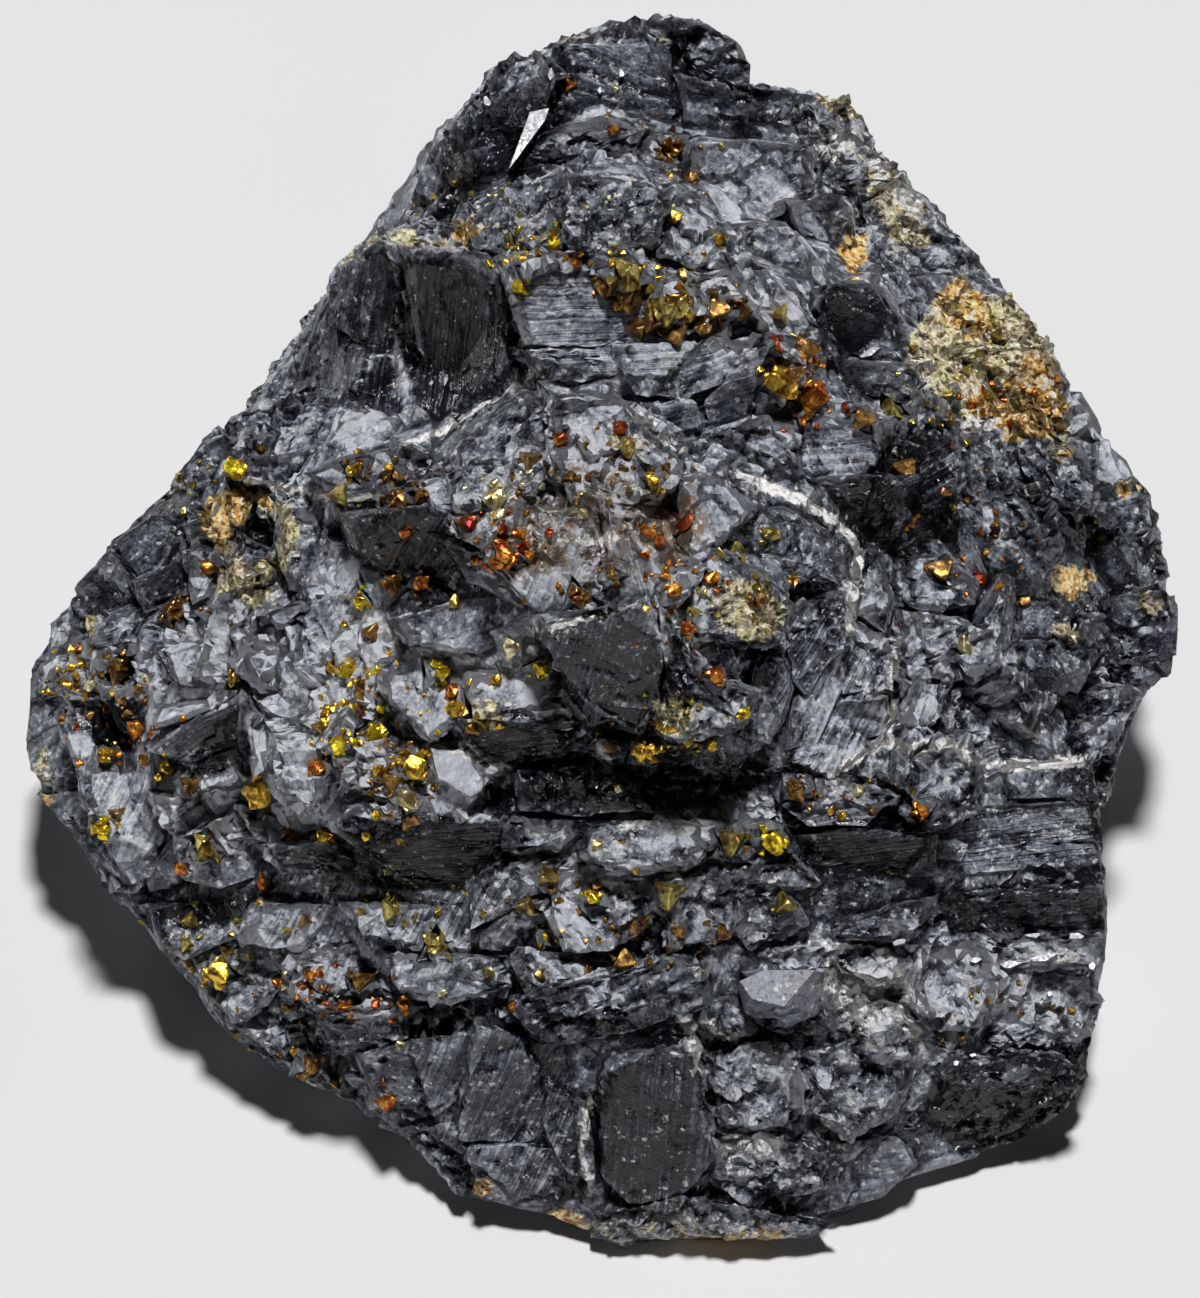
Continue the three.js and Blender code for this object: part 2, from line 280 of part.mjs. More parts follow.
    [1.2, 0.1, 0.6, [[-13, -50], [-8, -49.5], [-4, -50], [-3, -55], [-6, -56.3], [-12, -54.8]]],
    [2, 0, 0.55,
      [[1.5, -42.5], [5, -40.3], [9.5, -40.5], [10.5, -45], [11.3, -50.5], [8, -54], [3, -55.5],
        [0.3, -53], [0, -47]]],
    [1.3, 0.1, 0.4, [[-5.3, -44], [-1, -45.5], [-0.8, -50], [-0.5, -54], [-3.5, -52], [-5.5, -48]]],
    [1.5, 0, 0.3, [[11, -40.5], [17, -39], [20, -42], [19.5, -47.5], [13, -48], [11.3, -46]]],
    [1.5, -0.1, 0.3, [[20.5, -40], [27, -38.5], [30.5, -40.5], [30, -46.5], [25, -49], [20.5, -47]]],
    [1.2, 0, 0.6, [[12, -50.5], [16, -48.5], [22, -50.8], [22.5, -54], [15, -55.5], [11.5, -53]]],
    [1.3, -0.2, 0.5, [[23, -49.5], [29.5, -48.5], [31.5, -51.5], [28, -54.8], [23, -56]]],
    [1, 0, 0.7,
      [[0, -56.5], [8, -55], [16, -56.5], [24, -57.3], [20, -59.3], [12, -61.2], [4, -61.7], [-1, -59.5]]],
    [1.5, 0, 0.2, [[32.5, -30.5], [38, -29.8], [40, -33], [38, -38], [33, -38], [31.5, -34]]],
    [1.5, -0.2, 0.2, [[40.5, -32.5], [48.5, -32.5], [50.3, -35], [48.5, -39], [42, -39.5], [39.5, -37]]],
    [1.5, -0.1, 0.7,
      [[32.5, -42], [38, -40.5], [44, -41.5], [48.3, -42], [46.5, -46], [42, -48.5], [36, -50],
        [32.5, -47]]],
  ],
  right_ledges: [
    [2.2, 0, 0.1,
      [[24, -13], [29, -10.8], [35.5, -10], [38.3, -12.5], [37.5, -16.5], [33, -18.3], [30, -14.5]]],
    [2, 0, -0.2, [[18.5, -12.8], [23.5, -12.8], [29.5, -14.8], [26.5, -17.3], [21, -17.5], [17.5, -15]]],
    [0.9, 0, 0.9, [[19, -18.5], [26, -18], [33, -18.8], [33.5, -22.5], [27, -23], [20, -22]]],
    [2.3, 0, 0, [[39.5, -12.2], [43, -12.3], [49, -11.2], [49.8, -14.8], [44, -14.8], [39, -14.8]]],
    [2, 0, 0.2, [[38.5, -15.5], [44, -15.5], [49.7, -15.3], [50, -18.5], [44, -19.5], [37.5, -19.3]]],
    [1.8, 0, 0.2, [[36.5, -20], [44.5, -19.8], [49.8, -19.3], [50.2, -23], [45, -24], [38, -24]]],
    [0.9, 0, 0.9,
      [[35, -24.3], [42, -24.6], [50.2, -24], [50.7, -28], [43, -28.8], [36, -28.3], [33.5, -26]]],
    [2, 0, 0.2, [[33.5, -19], [36.8, -19.5], [36, -21], [33, -21]]],
    [1.8, 0, -0.1, [[24.5, -26.8], [30, -25.5], [33.5, -24.8], [32, -28], [27, -29], [23, -28.5]]],
    [1.3, 0, 0.3, [[34, -29.3], [42, -29.2], [50.5, -28.8], [50.3, -31.5], [43, -31.8], [36, -30.5]]],
    [1, 0, 0.1, [[22, -29.5], [27.5, -29.3], [31, -31], [29, -33.5], [24, -32]]],
    [1.2, 0, 0.2, [[24, -35.5], [30, -35], [31.5, -38], [28, -39.5], [23, -38]]],
  ],
};

// Chalcopyrite crystals big enough to be pieces of their own. Each is one or more sphenoids grown together.
// Each row: where the middle is seen, the width, whether a face or a point stands out, the turn in degrees.
const CRYSTALS = {
  shoulder_left: ["yellow", [[-36.2, 18.2, 2.5, "face", 20]]],
  knuckle_upper: ["gold", [[-24.4, 18.2, 2.1, "face", 70]]],
  knuckle_lower: ["brown", [[-20.6, 15.1, 2, "point", 15], [-19.5, 15.1, 2.3, "face", 50]]],
  slope_left: ["brown", [[-42.4, 3.9, 2.9, "point", 200]]],
  slope_high: ["brown", [[-20.7, 6, 3, "point", 40]]],
  slope_high_bright: ["orange", [[-18, 6.7, 1.8, "face", 110]]],
  slope_mid: ["yellow", [[-24, 5, 1.8, "face", 10]]],
  rim_left: ["yellow", [[-53.3, -3.6, 2.1, "face", 160]]],
  rim_left_crust: ["brown", [[-48.6, -2, 1.8, "face", 80], [-47.7, -1.8, 2, "face", 10]]],
  rim_left_low: ["gold", [[-49.2, -10.4, 2, "point", 30]]],
  lobe_edge_upper: ["gold", [[-43.6, -12.1, 2.1, "face", 40]]],
  lobe_edge_lower: ["brown", [[-41.1, -13.6, 1.9, "point", 90]]],
  lobe_corner: ["yellow", [[-49.5, -17.8, 2.3, "face", 170]]],
  lobe_facet: ["gold", [[-36.7, -2.9, 1.9, "point", 0]]],
  lobe_large: ["gold", [[-34.1, -14.5, 3.1, "point", 185]]],
  lobe_triangle: ["olive", [[-39.4, -19.6, 2.9, "point", 0]]],
  centre_pair: ["yellow", [[-16.6, -2.2, 2.2, "face", 30], [-15.9, -1.7, 1.7, "point", 80]]],
  centre_streak: ["yellow", [[-23, -8.2, 1.9, "face", 95], [-21.8, -8.6, 1.7, "face", 20]]],
  centre_streak_low: ["yellow", [[-26, -9.4, 2.2, "face", 130]]],
  cluster_upper: ["gold", [[-19.2, -11.2, 2.3, "face", 0], [-18.2, -12, 1.7, "point", 60]]],
  cluster_pale: ["pale", [[-18.9, -14.8, 2.8, "point", 150]]],
  ledge_left: ["gold", [[-27.5, -18.8, 2.3, "face", 75]]],
  terrace_left: ["gold", [[-38.1, -32.2, 3, "point", 20]]],
  terrace_triangle: ["olive", [[-16.5, -29.8, 3.1, "point", 0]]],
  terrace_group: ["brown", [[-24.2, -33.4, 2, "face", 25], [-23.3, -33.2, 2.1, "point", 85]]],
  terrace_group_low: ["orange", [[-25.7, -36, 1.9, "face", 140]]],
  terrace_group_right: ["orange", [[-19.6, -35.6, 1.8, "face", 45]]],
  edge_low_left: ["brown", [[-29.6, -41.5, 1.9, "face", 10], [-28.3, -41.9, 1.7, "face", 100]]],
  shelf_upper: ["olive", [[-5.4, -22.8, 2.2, "point", 170]]],
  shelf_left: ["olive", [[-7.4, -25.6, 2.1, "point", 10]]],
  shelf_bright: ["yellow", [[-5.3, -28.7, 2, "face", 165]]],
  shelf_middle: ["yellow", [[-0.6, -24.8, 1.8, "face", 15]]],
  shelf_olive: ["olive", [[6.9, -24.2, 2.7, "point", 45]]],
  shelf_low: ["brown", [[2.5, -31, 2.1, "face", 60]]],
  shelf_right: ["olive", [[18.5, -25.3, 2.1, "point", 20]]],
  overhang_olive: ["olive", [[13.3, -19, 2.7, "face", 60]]],
  overhang_yellow: ["yellow", [[17.3, -19.2, 2.8, "face", 0]]],
  overhang_nodule: ["brown", [[19, -13.9, 2.3, "point", 30], [20.6, -13.8, 2.4, "point", 100]]],
  nose_left: ["red", [[-13.1, 12.6, 2.8, "point", 60]]],
  nose_red_row: ["orange", [[-10.5, 9.9, 2.3, "face", 20], [-9.4, 9.5, 2.2, "face", 90],
    [-8.4, 9.4, 1.9, "point", 0]]],
  nose_ledge: ["olive", [[-4.1, 15.5, 2.1, "face", 40], [-3.5, 15.3, 2.1, "face", 75]]],
  nose_brown: ["brown", [[-2.3, 5.2, 2.8, "point", 15]]],
  nose_middle: ["brown", [[1, 7.4, 2.2, "face", 30]]],
  nose_top: ["gold", [[5.3, 16.8, 2.2, "point", 55]]],
  nose_right: ["orange", [[11.6, -2.6, 2.3, "face", 95]]],
  nose_foot_left: ["yellow", [[-6.1, -1.8, 2, "face", 85]]],
  chin_left: ["gold", [[3.6, -10.2, 1.9, "face", 15], [4.9, -10.3, 1.6, "face", 70]]],
  chin_right: ["yellow", [[11.4, -8.6, 1.9, "face", 35], [11.8, -8.4, 1.7, "face", 70]]],
  brow_left: ["yellow", [[-4.3, 41, 2.4, "face", 0]]],
  brow_chain: ["olive", [[1.4, 37.6, 2.3, "face", 80], [2.4, 37.3, 2.2, "face", 20],
    [3.3, 36.8, 2.1, "face", 140]]],
  brow_cluster: ["olive", [[7.2, 35.6, 2.5, "face", 70], [8.4, 35.7, 2.3, "face", 10],
    [7.4, 34.1, 2.7, "face", 130], [8.6, 33.4, 2.5, "point", 40], [6.3, 34.3, 2.2, "face", 0]]],
  brow_cluster_right: ["brown", [[11.8, 33.8, 2.3, "point", 25]]],
  crest_arch: ["brown", [[7.5, 50.3, 2.9, "face", 60]]],
  brow_end: ["gold", [[18.9, 27.1, 2.9, "face", 20], [17.6, 26.2, 2, "point", 100]]],
  brow_end_low: ["orange", [[21.5, 26.2, 2.1, "face", 10], [21.3, 25.3, 2, "face", 75],
    [21, 24.3, 2, "face", 40]]],
  cliff_brown: ["brown", [[26.2, 23.2, 2.2, "point", 95]]],
  cliff_olive: ["olive", [[29.1, 23.8, 2.6, "point", 25]]],
  terrace_right: ["brown", [[34.2, 8, 2.4, "face", 75]]],
  ledge_right: ["orange", [[32.2, -15.9, 1.9, "face", 50]]],
};

const FACE_RIGHT = new THREE.Vector3(1, 0, 0);
const FACE_UP = new THREE.Vector3(0, Math.sin(VIEW_ELEVATION), Math.cos(VIEW_ELEVATION));
const FACE_OUT = new THREE.Vector3(0, -Math.cos(VIEW_ELEVATION), Math.sin(VIEW_ELEVATION));
const EYE = FACE_CENTRE.clone().addScaledVector(FACE_OUT, EYE_DISTANCE);
const CORE = new THREE.Vector3(0, 8, 26);

// The place that the viewer sees at a, b when it stands h nearer than the face's centre.
function seen(a, b, h) {
  const nearer = 1 - h / EYE_DISTANCE;
  return FACE_CENTRE.clone()
    .addScaledVector(FACE_RIGHT, a * nearer)
    .addScaledVector(FACE_UP, b * nearer)
    .addScaledVector(FACE_OUT, h);
}

function sightLine(a, b) {
  return new THREE.Ray(EYE, seen(a, b, 0).sub(EYE).normalize());
}

function solidOf(geometry) {
  const bare = new THREE.BufferGeometry().setAttribute("position", geometry.getAttribute("position"));
  if (geometry.index) bare.setIndex(geometry.index);
  const merged = mergeVertices(bare, 1e-4);
  const mesh = new wasm.Mesh({
    numProp: 3,
    vertProperties: new Float32Array(merged.attributes.position.array),
    triVerts: new Uint32Array(merged.index.array),
  });
  return new wasm.Manifold(mesh);
}

function geometryOf(solid) {
  const mesh = solid.getMesh();
  const geometry = new THREE.BufferGeometry();
  geometry.setAttribute("position", new THREE.BufferAttribute(mesh.vertProperties, 3));
  geometry.setIndex(new THREE.BufferAttribute(mesh.triVerts, 1));
  const flat = geometry.toNonIndexed();
  flat.computeVertexNormals();
  return flat;
}

// One closed skin through corners that can all be seen from a core point. The corners are joined up as
// their directions from the core lie on a sphere.
function skinGeometry(corners) {
  const directions = corners.map((corner) => corner.clone().sub(CORE).normalize());
  const hull = new ConvexHull().setFromPoints(directions);
  const index = [];
  for (const face of hull.faces) {
    const ends = [];
    let edge = face.edge;
    do {
      ends.push(directions.indexOf(edge.head().point));
      edge = edge.next;
    } while (edge !== face.edge);
    for (let i = 2; i < ends.length; i++) index.push(ends[0], ends[i - 1], ends[i]);
  }
  return new THREE.BufferGeometry().setFromPoints(corners).setIndex(index);
}

function middleOf(points) {
  return [0, 1].map((i) => points.reduce((sum, point) => sum + point[i], 0) / points.length);
}

// Whether the viewer sees a place within the outline: an even-odd count of the sides to its right.
function insideOutline(place) {
  const toPlace = place.clone().sub(EYE);
  const scale = EYE_DISTANCE / -toPlace.dot(FACE_OUT);
  const a = toPlace.dot(FACE_RIGHT) * scale;
  const b = toPlace.dot(FACE_UP) * scale;
  let inside = false;
  FACE_EDGE.forEach(([a0, b0], i) => {
    const [a1, b1] = FACE_EDGE[(i + 1) % FACE_EDGE.length];
    if (b0 > b !== b1 > b && a < a0 + ((a1 - a0) * (b - b0)) / (b1 - b0)) inside = !inside;
  });
  return inside;
}

// One block: a flat top, a steep wall along its lower side and a sloping one along its upper side.
function blockSolid(skin, [lift, riseRight, riseUp, outline]) {
  const caster = new THREE.Raycaster();
  caster.ray.copy(sightLine(...middleOf(outline)));
  const middle = caster.intersectObject(skin)[0].point.addScaledVector(FACE_OUT, lift);
  const normal = FACE_OUT.clone().addScaledVector(FACE_RIGHT, -riseRight).addScaledVector(FACE_UP, -riseUp);
  const top = new THREE.Plane().setFromNormalAndCoplanarPoint(normal.normalize(), middle);
  const rim = outline.map((point) => sightLine(...point).intersectPlane(top, new THREE.Vector3()));
  const foot = rim.filter((_, i) => i % 2 === 0).map((p) => {
    const outward = p.clone().sub(middle).normalize();
    const upperSide = THREE.MathUtils.smoothstep(outward.dot(FACE_UP), -0.6, 0.8);
    const skirt = THREE.MathUtils.lerp(SKIRT_UNDER, SKIRT_OVER, upperSide);
    const spread = p.clone().addScaledVector(outward, skirt);
    return (insideOutline(spread) ? spread : p.clone()).addScaledVector(FACE_OUT, -SKIRT_DEPTH);
  });
  return solidOf(new ConvexGeometry([...rim, ...foot]));
}

// A seeded generator, so that every build is the same.
function randomFrom(seed) {
  let state = seed;
  return () => {
    state = (state + 0x6d2b79f5) | 0;
    let t = Math.imul(state ^ (state >>> 15), 1 | state);
    t = (t + Math.imul(t ^ (t >>> 7), 61 | t)) ^ t;
    return ((t ^ (t >>> 14)) >>> 0) / 4294967296;
  };
}

// Coarse facets of the broken back and sides: low slabs, each facing out from the core.
function backSolids(skin) {
  const random = randomFrom(11);
  const between = (low, high) => low + (high - low) * random();
  const caster = new THREE.Raycaster();
  const solids = [];
  for (let row = 0; row < 3; row++) {
    for (let turn = 0; turn < BACK_SLABS; turn++) {
      const step = turn + 0.5 * (row % 2);
      const azimuth = THREE.MathUtils.degToRad(-25 + (230 * step) / BACK_SLABS + between(-5, 5));
      const rise = [0.28, -0.08, -0.42][row] + between(-0.05, 0.05);
      const outward = new THREE.Vector3(Math.cos(azimuth), Math.sin(azimuth), rise).normalize();
      const along = new THREE.Vector3(-Math.sin(azimuth), Math.cos(azimuth), between(-0.3, 0.3));
      along.normalize();
      const across = new THREE.Vector3().crossVectors(outward, along);
      caster.set(CORE.clone().addScaledVector(outward, 200), outward.clone().negate());
      const middle = caster.intersectObject(skin)[0].point;
      const facing = outward.clone().addScaledVector(along, between(-0.3, 0.3));
      facing.addScaledVector(across, between(-0.3, 0.3)).normalize();
      const points = [];
      for (let k = 0; k < 5; k++) {
        const angle = (k / 5) * Math.PI * 2 + between(-0.35, 0.35);
        const reach = between(5.5, 9);
        const corner = along.clone().multiplyScalar(1.25 * reach * Math.cos(angle));
        corner.addScaledVector(across, reach * Math.sin(angle));
        corner.projectOnPlane(facing).add(middle).addScaledVector(facing, SLAB_PROUD);
        while (!insideOutline(corner)) corner.lerp(CORE, 0.04);
        points.push(corner.clone());
        if (k % 2 === 0) points.push(corner.addScaledVector(facing, -5));
      }
      solids.push(solidOf(new ConvexGeometry(points)));
    }
  }
  return solids;
}

function massSolid() {
  const corners = [
    ...FACE_LIE.map((row) => seen(...row)),
    ...FACE_EDGE.map((row) => seen(...row)),
    ...BODY_CORNERS.map((row) => new THREE.Vector3(...row)),
    ...BREAK_CORNERS.map(([x, y]) => new THREE.Vector3(x, y, 0)),
  ];
  const skin = new THREE.Mesh(skinGeometry(corners));
  skin.material.side = THREE.DoubleSide;
  const blocks = Object.values(BLOCKS).flatMap((group) => group.map((row) => blockSolid(skin, row)));
  const joined = wasm.Manifold.union([solidOf(skin.geometry), ...blocks, ...backSolids(skin)]);
  const pieces = joined.trimByPlane([0, 0, 1], 0).decompose();
  return pieces.sort((one, other) => other.volume() - one.volume())[0];
}

// The corners of a sphenoid that points down its own -z, with the face opposite towards +z.
function sphenoidCorners(width) {
  const edge = width * 1.12;
  const around = [90, 210, 330].map((degrees) => {
    const turn = THREE.MathUtils.degToRad(degrees);
    return new THREE.Vector3(0.577 * edge * Math.cos(turn), 0.577 * edge * Math.sin(turn), 0.204 * edge);
  });
  return [new THREE.Vector3(0, 0, -0.612 * edge), ...around];
}

// The corner that stands out is cut off square; the ones in the seat stay whole.
function bluntCorners([tip, ...around]) {
  return [...around, ...around.map((corner) => tip.clone().lerp(corner, CORNER_CUT))];
}

// A straight three-sided hollow that clears a sphenoid all round and is open outwards.
function seatCorners([, ...around], width, pointing) {
  const base = around[0].z;
  const wide = 1 + SEAT_GAP / (0.289 * width * 1.12);
  const inner = pointing ? SEAT_GAP / POINT_SQUASH : -0.92 * width - SEAT_GAP;
  const outer = pointing ? -width : 0.4 * width;
  const shaft = (z) => around.map(({ x, y }) => new THREE.Vector3(x * wide, y * wide, base + z));
  return [...shaft(inner), ...shaft(outer)];
}

// Puts a sphenoid's corners in the mass where the viewer sees it.
function setInMass(mass, [a, b, width, style, turn], corners) {
  const caster = new THREE.Raycaster();
  caster.ray.copy(sightLine(a, b));
  const place = caster.intersectObject(mass)[0].point;
  const tip = THREE.MathUtils.degToRad(12 * Math.cos(turn - b));
  const lean = THREE.MathUtils.degToRad(10 * Math.sin(turn + a));
  const turned = new THREE.Euler(tip, lean, THREE.MathUtils.degToRad(turn));
  const pose = new THREE.Matrix4().makeBasis(FACE_RIGHT, FACE_UP, FACE_OUT);
  pose.multiply(new THREE.Matrix4().makeRotationFromEuler(turned));
  const pointing = style === "point";
  const stand = (pointing ? POINT_PROUD : FACE_PROUD) * width;
  return corners.map((corner) => {
    if (pointing) corner.z *= -POINT_SQUASH;
    return corner.applyMatrix4(pose).add(place).addScaledVector(FACE_OUT, stand);
  });
}

const LOOKS = {
  sphalerite: { color: 0x2b2d33, roughness: 0.42, metalness: 0.1 },
  yellow: { color: 0xd9ab1c, roughness: 0.22, metalness: 0.9 },
  gold: { color: 0xb98625, roughness: 0.26, metalness: 0.9 },
  brown: { color: 0x7d5527, roughness: 0.34, metalness: 0.8 },
  olive: { color: 0x84753a, roughness: 0.36, metalness: 0.75 },
  orange: { color: 0xb4561b, roughness: 0.3, metalness: 0.85 },
  red: { color: 0x8f3a22, roughness: 0.34, metalness: 0.8 },
  pale: { color: 0xc9b777, roughness: 0.24, metalness: 0.85 },
};

function pieceMesh(name, look, solid) {
  const mesh = new THREE.Mesh(geometryOf(solid), new THREE.MeshStandardMaterial(LOOKS[look]));
  mesh.name = name;
  return mesh;
}

function buildSpecimen() {
  const specimen = new THREE.Group();
  const whole = massSolid();
  const target = new THREE.Mesh(geometryOf(whole));
  const seats = [];
  for (const [name, [look, members]] of Object.entries(CRYSTALS)) {
    const sphenoids = members.map((member) => {
      const [, , width, style] = member;
      const corners = sphenoidCorners(width);
      const seat = seatCorners(corners, width, style === "point");
      seats.push(solidOf(new ConvexGeometry(setInMass(target, member, seat))));
      return solidOf(new ConvexGeometry(setInMass(target, member, bluntCorners(corners))));
    });
    const crystal = wasm.Manifold.union(sphenoids);
    specimen.add(pieceMesh(`chalcopyrite_${name}`, look, crystal));
  }
  specimen.add(pieceMesh("sphalerite_mass", "sphalerite", whole.subtract(wasm.Manifold.union(seats))));
  const middle = new THREE.Box3().setFromObject(specimen, true).getCenter(new THREE.Vector3());
  specimen.children.forEach((piece) => piece.geometry.translate(-middle.x, -middle.y, 0));
  return specimen;
}

export default buildSpecimen();
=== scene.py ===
"""Chalcopyrite crystals on dark sphalerite: the looks of the specimen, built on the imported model.

Shapes are worked out in millimetres and stored in metres, +Z up.
"""

import itertools
import json
import math

import bmesh
import bpy
import numpy as np
from mathutils import Matrix, Vector
from mathutils.bvhtree import BVHTree
from mathutils.kdtree import KDTree

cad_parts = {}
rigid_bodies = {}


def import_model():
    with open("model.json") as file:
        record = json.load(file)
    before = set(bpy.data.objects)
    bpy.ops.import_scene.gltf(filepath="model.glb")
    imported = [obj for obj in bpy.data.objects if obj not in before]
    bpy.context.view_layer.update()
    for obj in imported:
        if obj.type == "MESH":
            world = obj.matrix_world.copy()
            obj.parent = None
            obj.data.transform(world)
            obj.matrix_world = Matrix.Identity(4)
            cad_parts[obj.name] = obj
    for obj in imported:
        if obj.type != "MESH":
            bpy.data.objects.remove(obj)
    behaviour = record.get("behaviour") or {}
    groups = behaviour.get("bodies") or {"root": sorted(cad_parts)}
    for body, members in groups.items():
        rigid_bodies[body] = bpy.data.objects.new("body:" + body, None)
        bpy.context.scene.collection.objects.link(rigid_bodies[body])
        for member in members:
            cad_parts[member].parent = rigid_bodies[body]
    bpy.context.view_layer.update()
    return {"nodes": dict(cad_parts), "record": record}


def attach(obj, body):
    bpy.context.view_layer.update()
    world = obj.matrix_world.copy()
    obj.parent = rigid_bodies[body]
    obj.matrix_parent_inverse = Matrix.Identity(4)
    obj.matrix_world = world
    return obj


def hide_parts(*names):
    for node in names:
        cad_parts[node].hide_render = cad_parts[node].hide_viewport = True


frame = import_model()

MM = 0.001
ROCK = "sphalerite_mass"

# The display face as its viewer sees it: a to the right, b upwards, in millimetres from its centre.
VIEW_ELEVATION = math.radians(55)
EYE_DISTANCE = 800.0
FACE_CENTRE = np.array((-0.23, -13.35, 42.6))
FACE_RIGHT = np.array((1.0, 0.0, 0.0))
FACE_UP = np.array((0.0, math.sin(VIEW_ELEVATION), math.cos(VIEW_ELEVATION)))
FACE_OUT = np.array((0.0, -math.cos(VIEW_ELEVATION), math.sin(VIEW_ELEVATION)))
EYE = FACE_CENTRE + EYE_DISTANCE * FACE_OUT

# Mesh fineness, as the longest edge: on the display face, on the back and sides, and on the underside.
FINE_EDGE = 0.8
COARSE_EDGE = 2.5
UNDERSIDE_EDGE = 4.5
ROCK_TRIANGLES = 194000

# How near the sides of the model's box the relief is drawn in.
BOX_MARGIN = 1.6

# The rim at the table draws in: up to which height, how deep, and how unevenly.
FOOT_HEIGHT = 3.2
FOOT_DEPTH = 2.3
FOOT_UNEVENNESS = 0.9

# Edges sharper than these many degrees stay hard.
ROCK_EDGE_ANGLE = 22
CRYSTAL_EDGE_ANGLE = 22
GRAIN_EDGE_ANGLE = 20
BLADE_EDGE_ANGLE = 10

# How far the fill round each crystal reaches past it.
SEAT_FILL = 0.32

# Cleavage steps, coarse to fine: how far apart the planes are, the width of their jagged lobes, how far
# places snap to the planes, and how much the steps differ in tone.
CLEAVAGES = (
    (2.4, 9.0, 0.55, 0.9),
    (0.9, 4.0, 0.60, 0.7),
)

# How wide the rock's own crystals are, each with its own cleavage directions, and how wide the cells that
# break smooth or rough.
CRYSTAL_SIZE = 17.0
SMOOTH_CELL = 9.0

# Crumbly relief, coarse to fine: cell size, how steep each cell's top lies, how far cells step, and how
# much they differ in tone.
FRACTURES = (
    (4.2, 0.34, 0.50, 0.8),
    (1.9, 0.40, 0.30, 0.7),
)

# Places on the display face: a, b, half-width, half-height, turn in degrees, strength.
CALM_FACETS = (
    (4, 8.5, 3.2, 4.5, 25, 0.7), (43, 8.3, 3, 2.4, 0, 0.7), (43, 4, 5, 2, 0, 0.4),
)
GRANULAR_PATCHES = (
    (11, 4.5, 7, 5.5, -30, 0.9), (-3, 18, 10, 7, 0, 0.8), (-9, 12, 5, 4, -20, 0.8),
    (2, 41.5, 14, 3.2, -4, 0.8), (11, 35, 6, 3.4, -10, 0.9), (-51, -2, 6, 4, 0, 0.7),
    (-25, -4, 5, 7, 0, 0.6), (38, 29, 8, 9, -45, 0.9), (27, 46, 5, 9, 35, 0.8), (-36, 12, 6, 5, 0, 0.9),
    (24, -37, 8, 5, 0, 0.5), (20, 27.5, 3, 5, -10, 0.8), (36, -37, 13, 7, 0, 0.8),
    (-19.5, -14, 5, 4, 0, 0.6), (10, -7.5, 5, 3, 0, 0.8), (8, -22, 14, 6, 0, 0.4),
    (-28, -33, 12, 5, 15, 0.6), (15, -50, 9, 8, 0, 0.8), (22, -42, 8, 7, 0, 0.8),
    (5, -58.5, 16, 3, 0, 0.7),
)

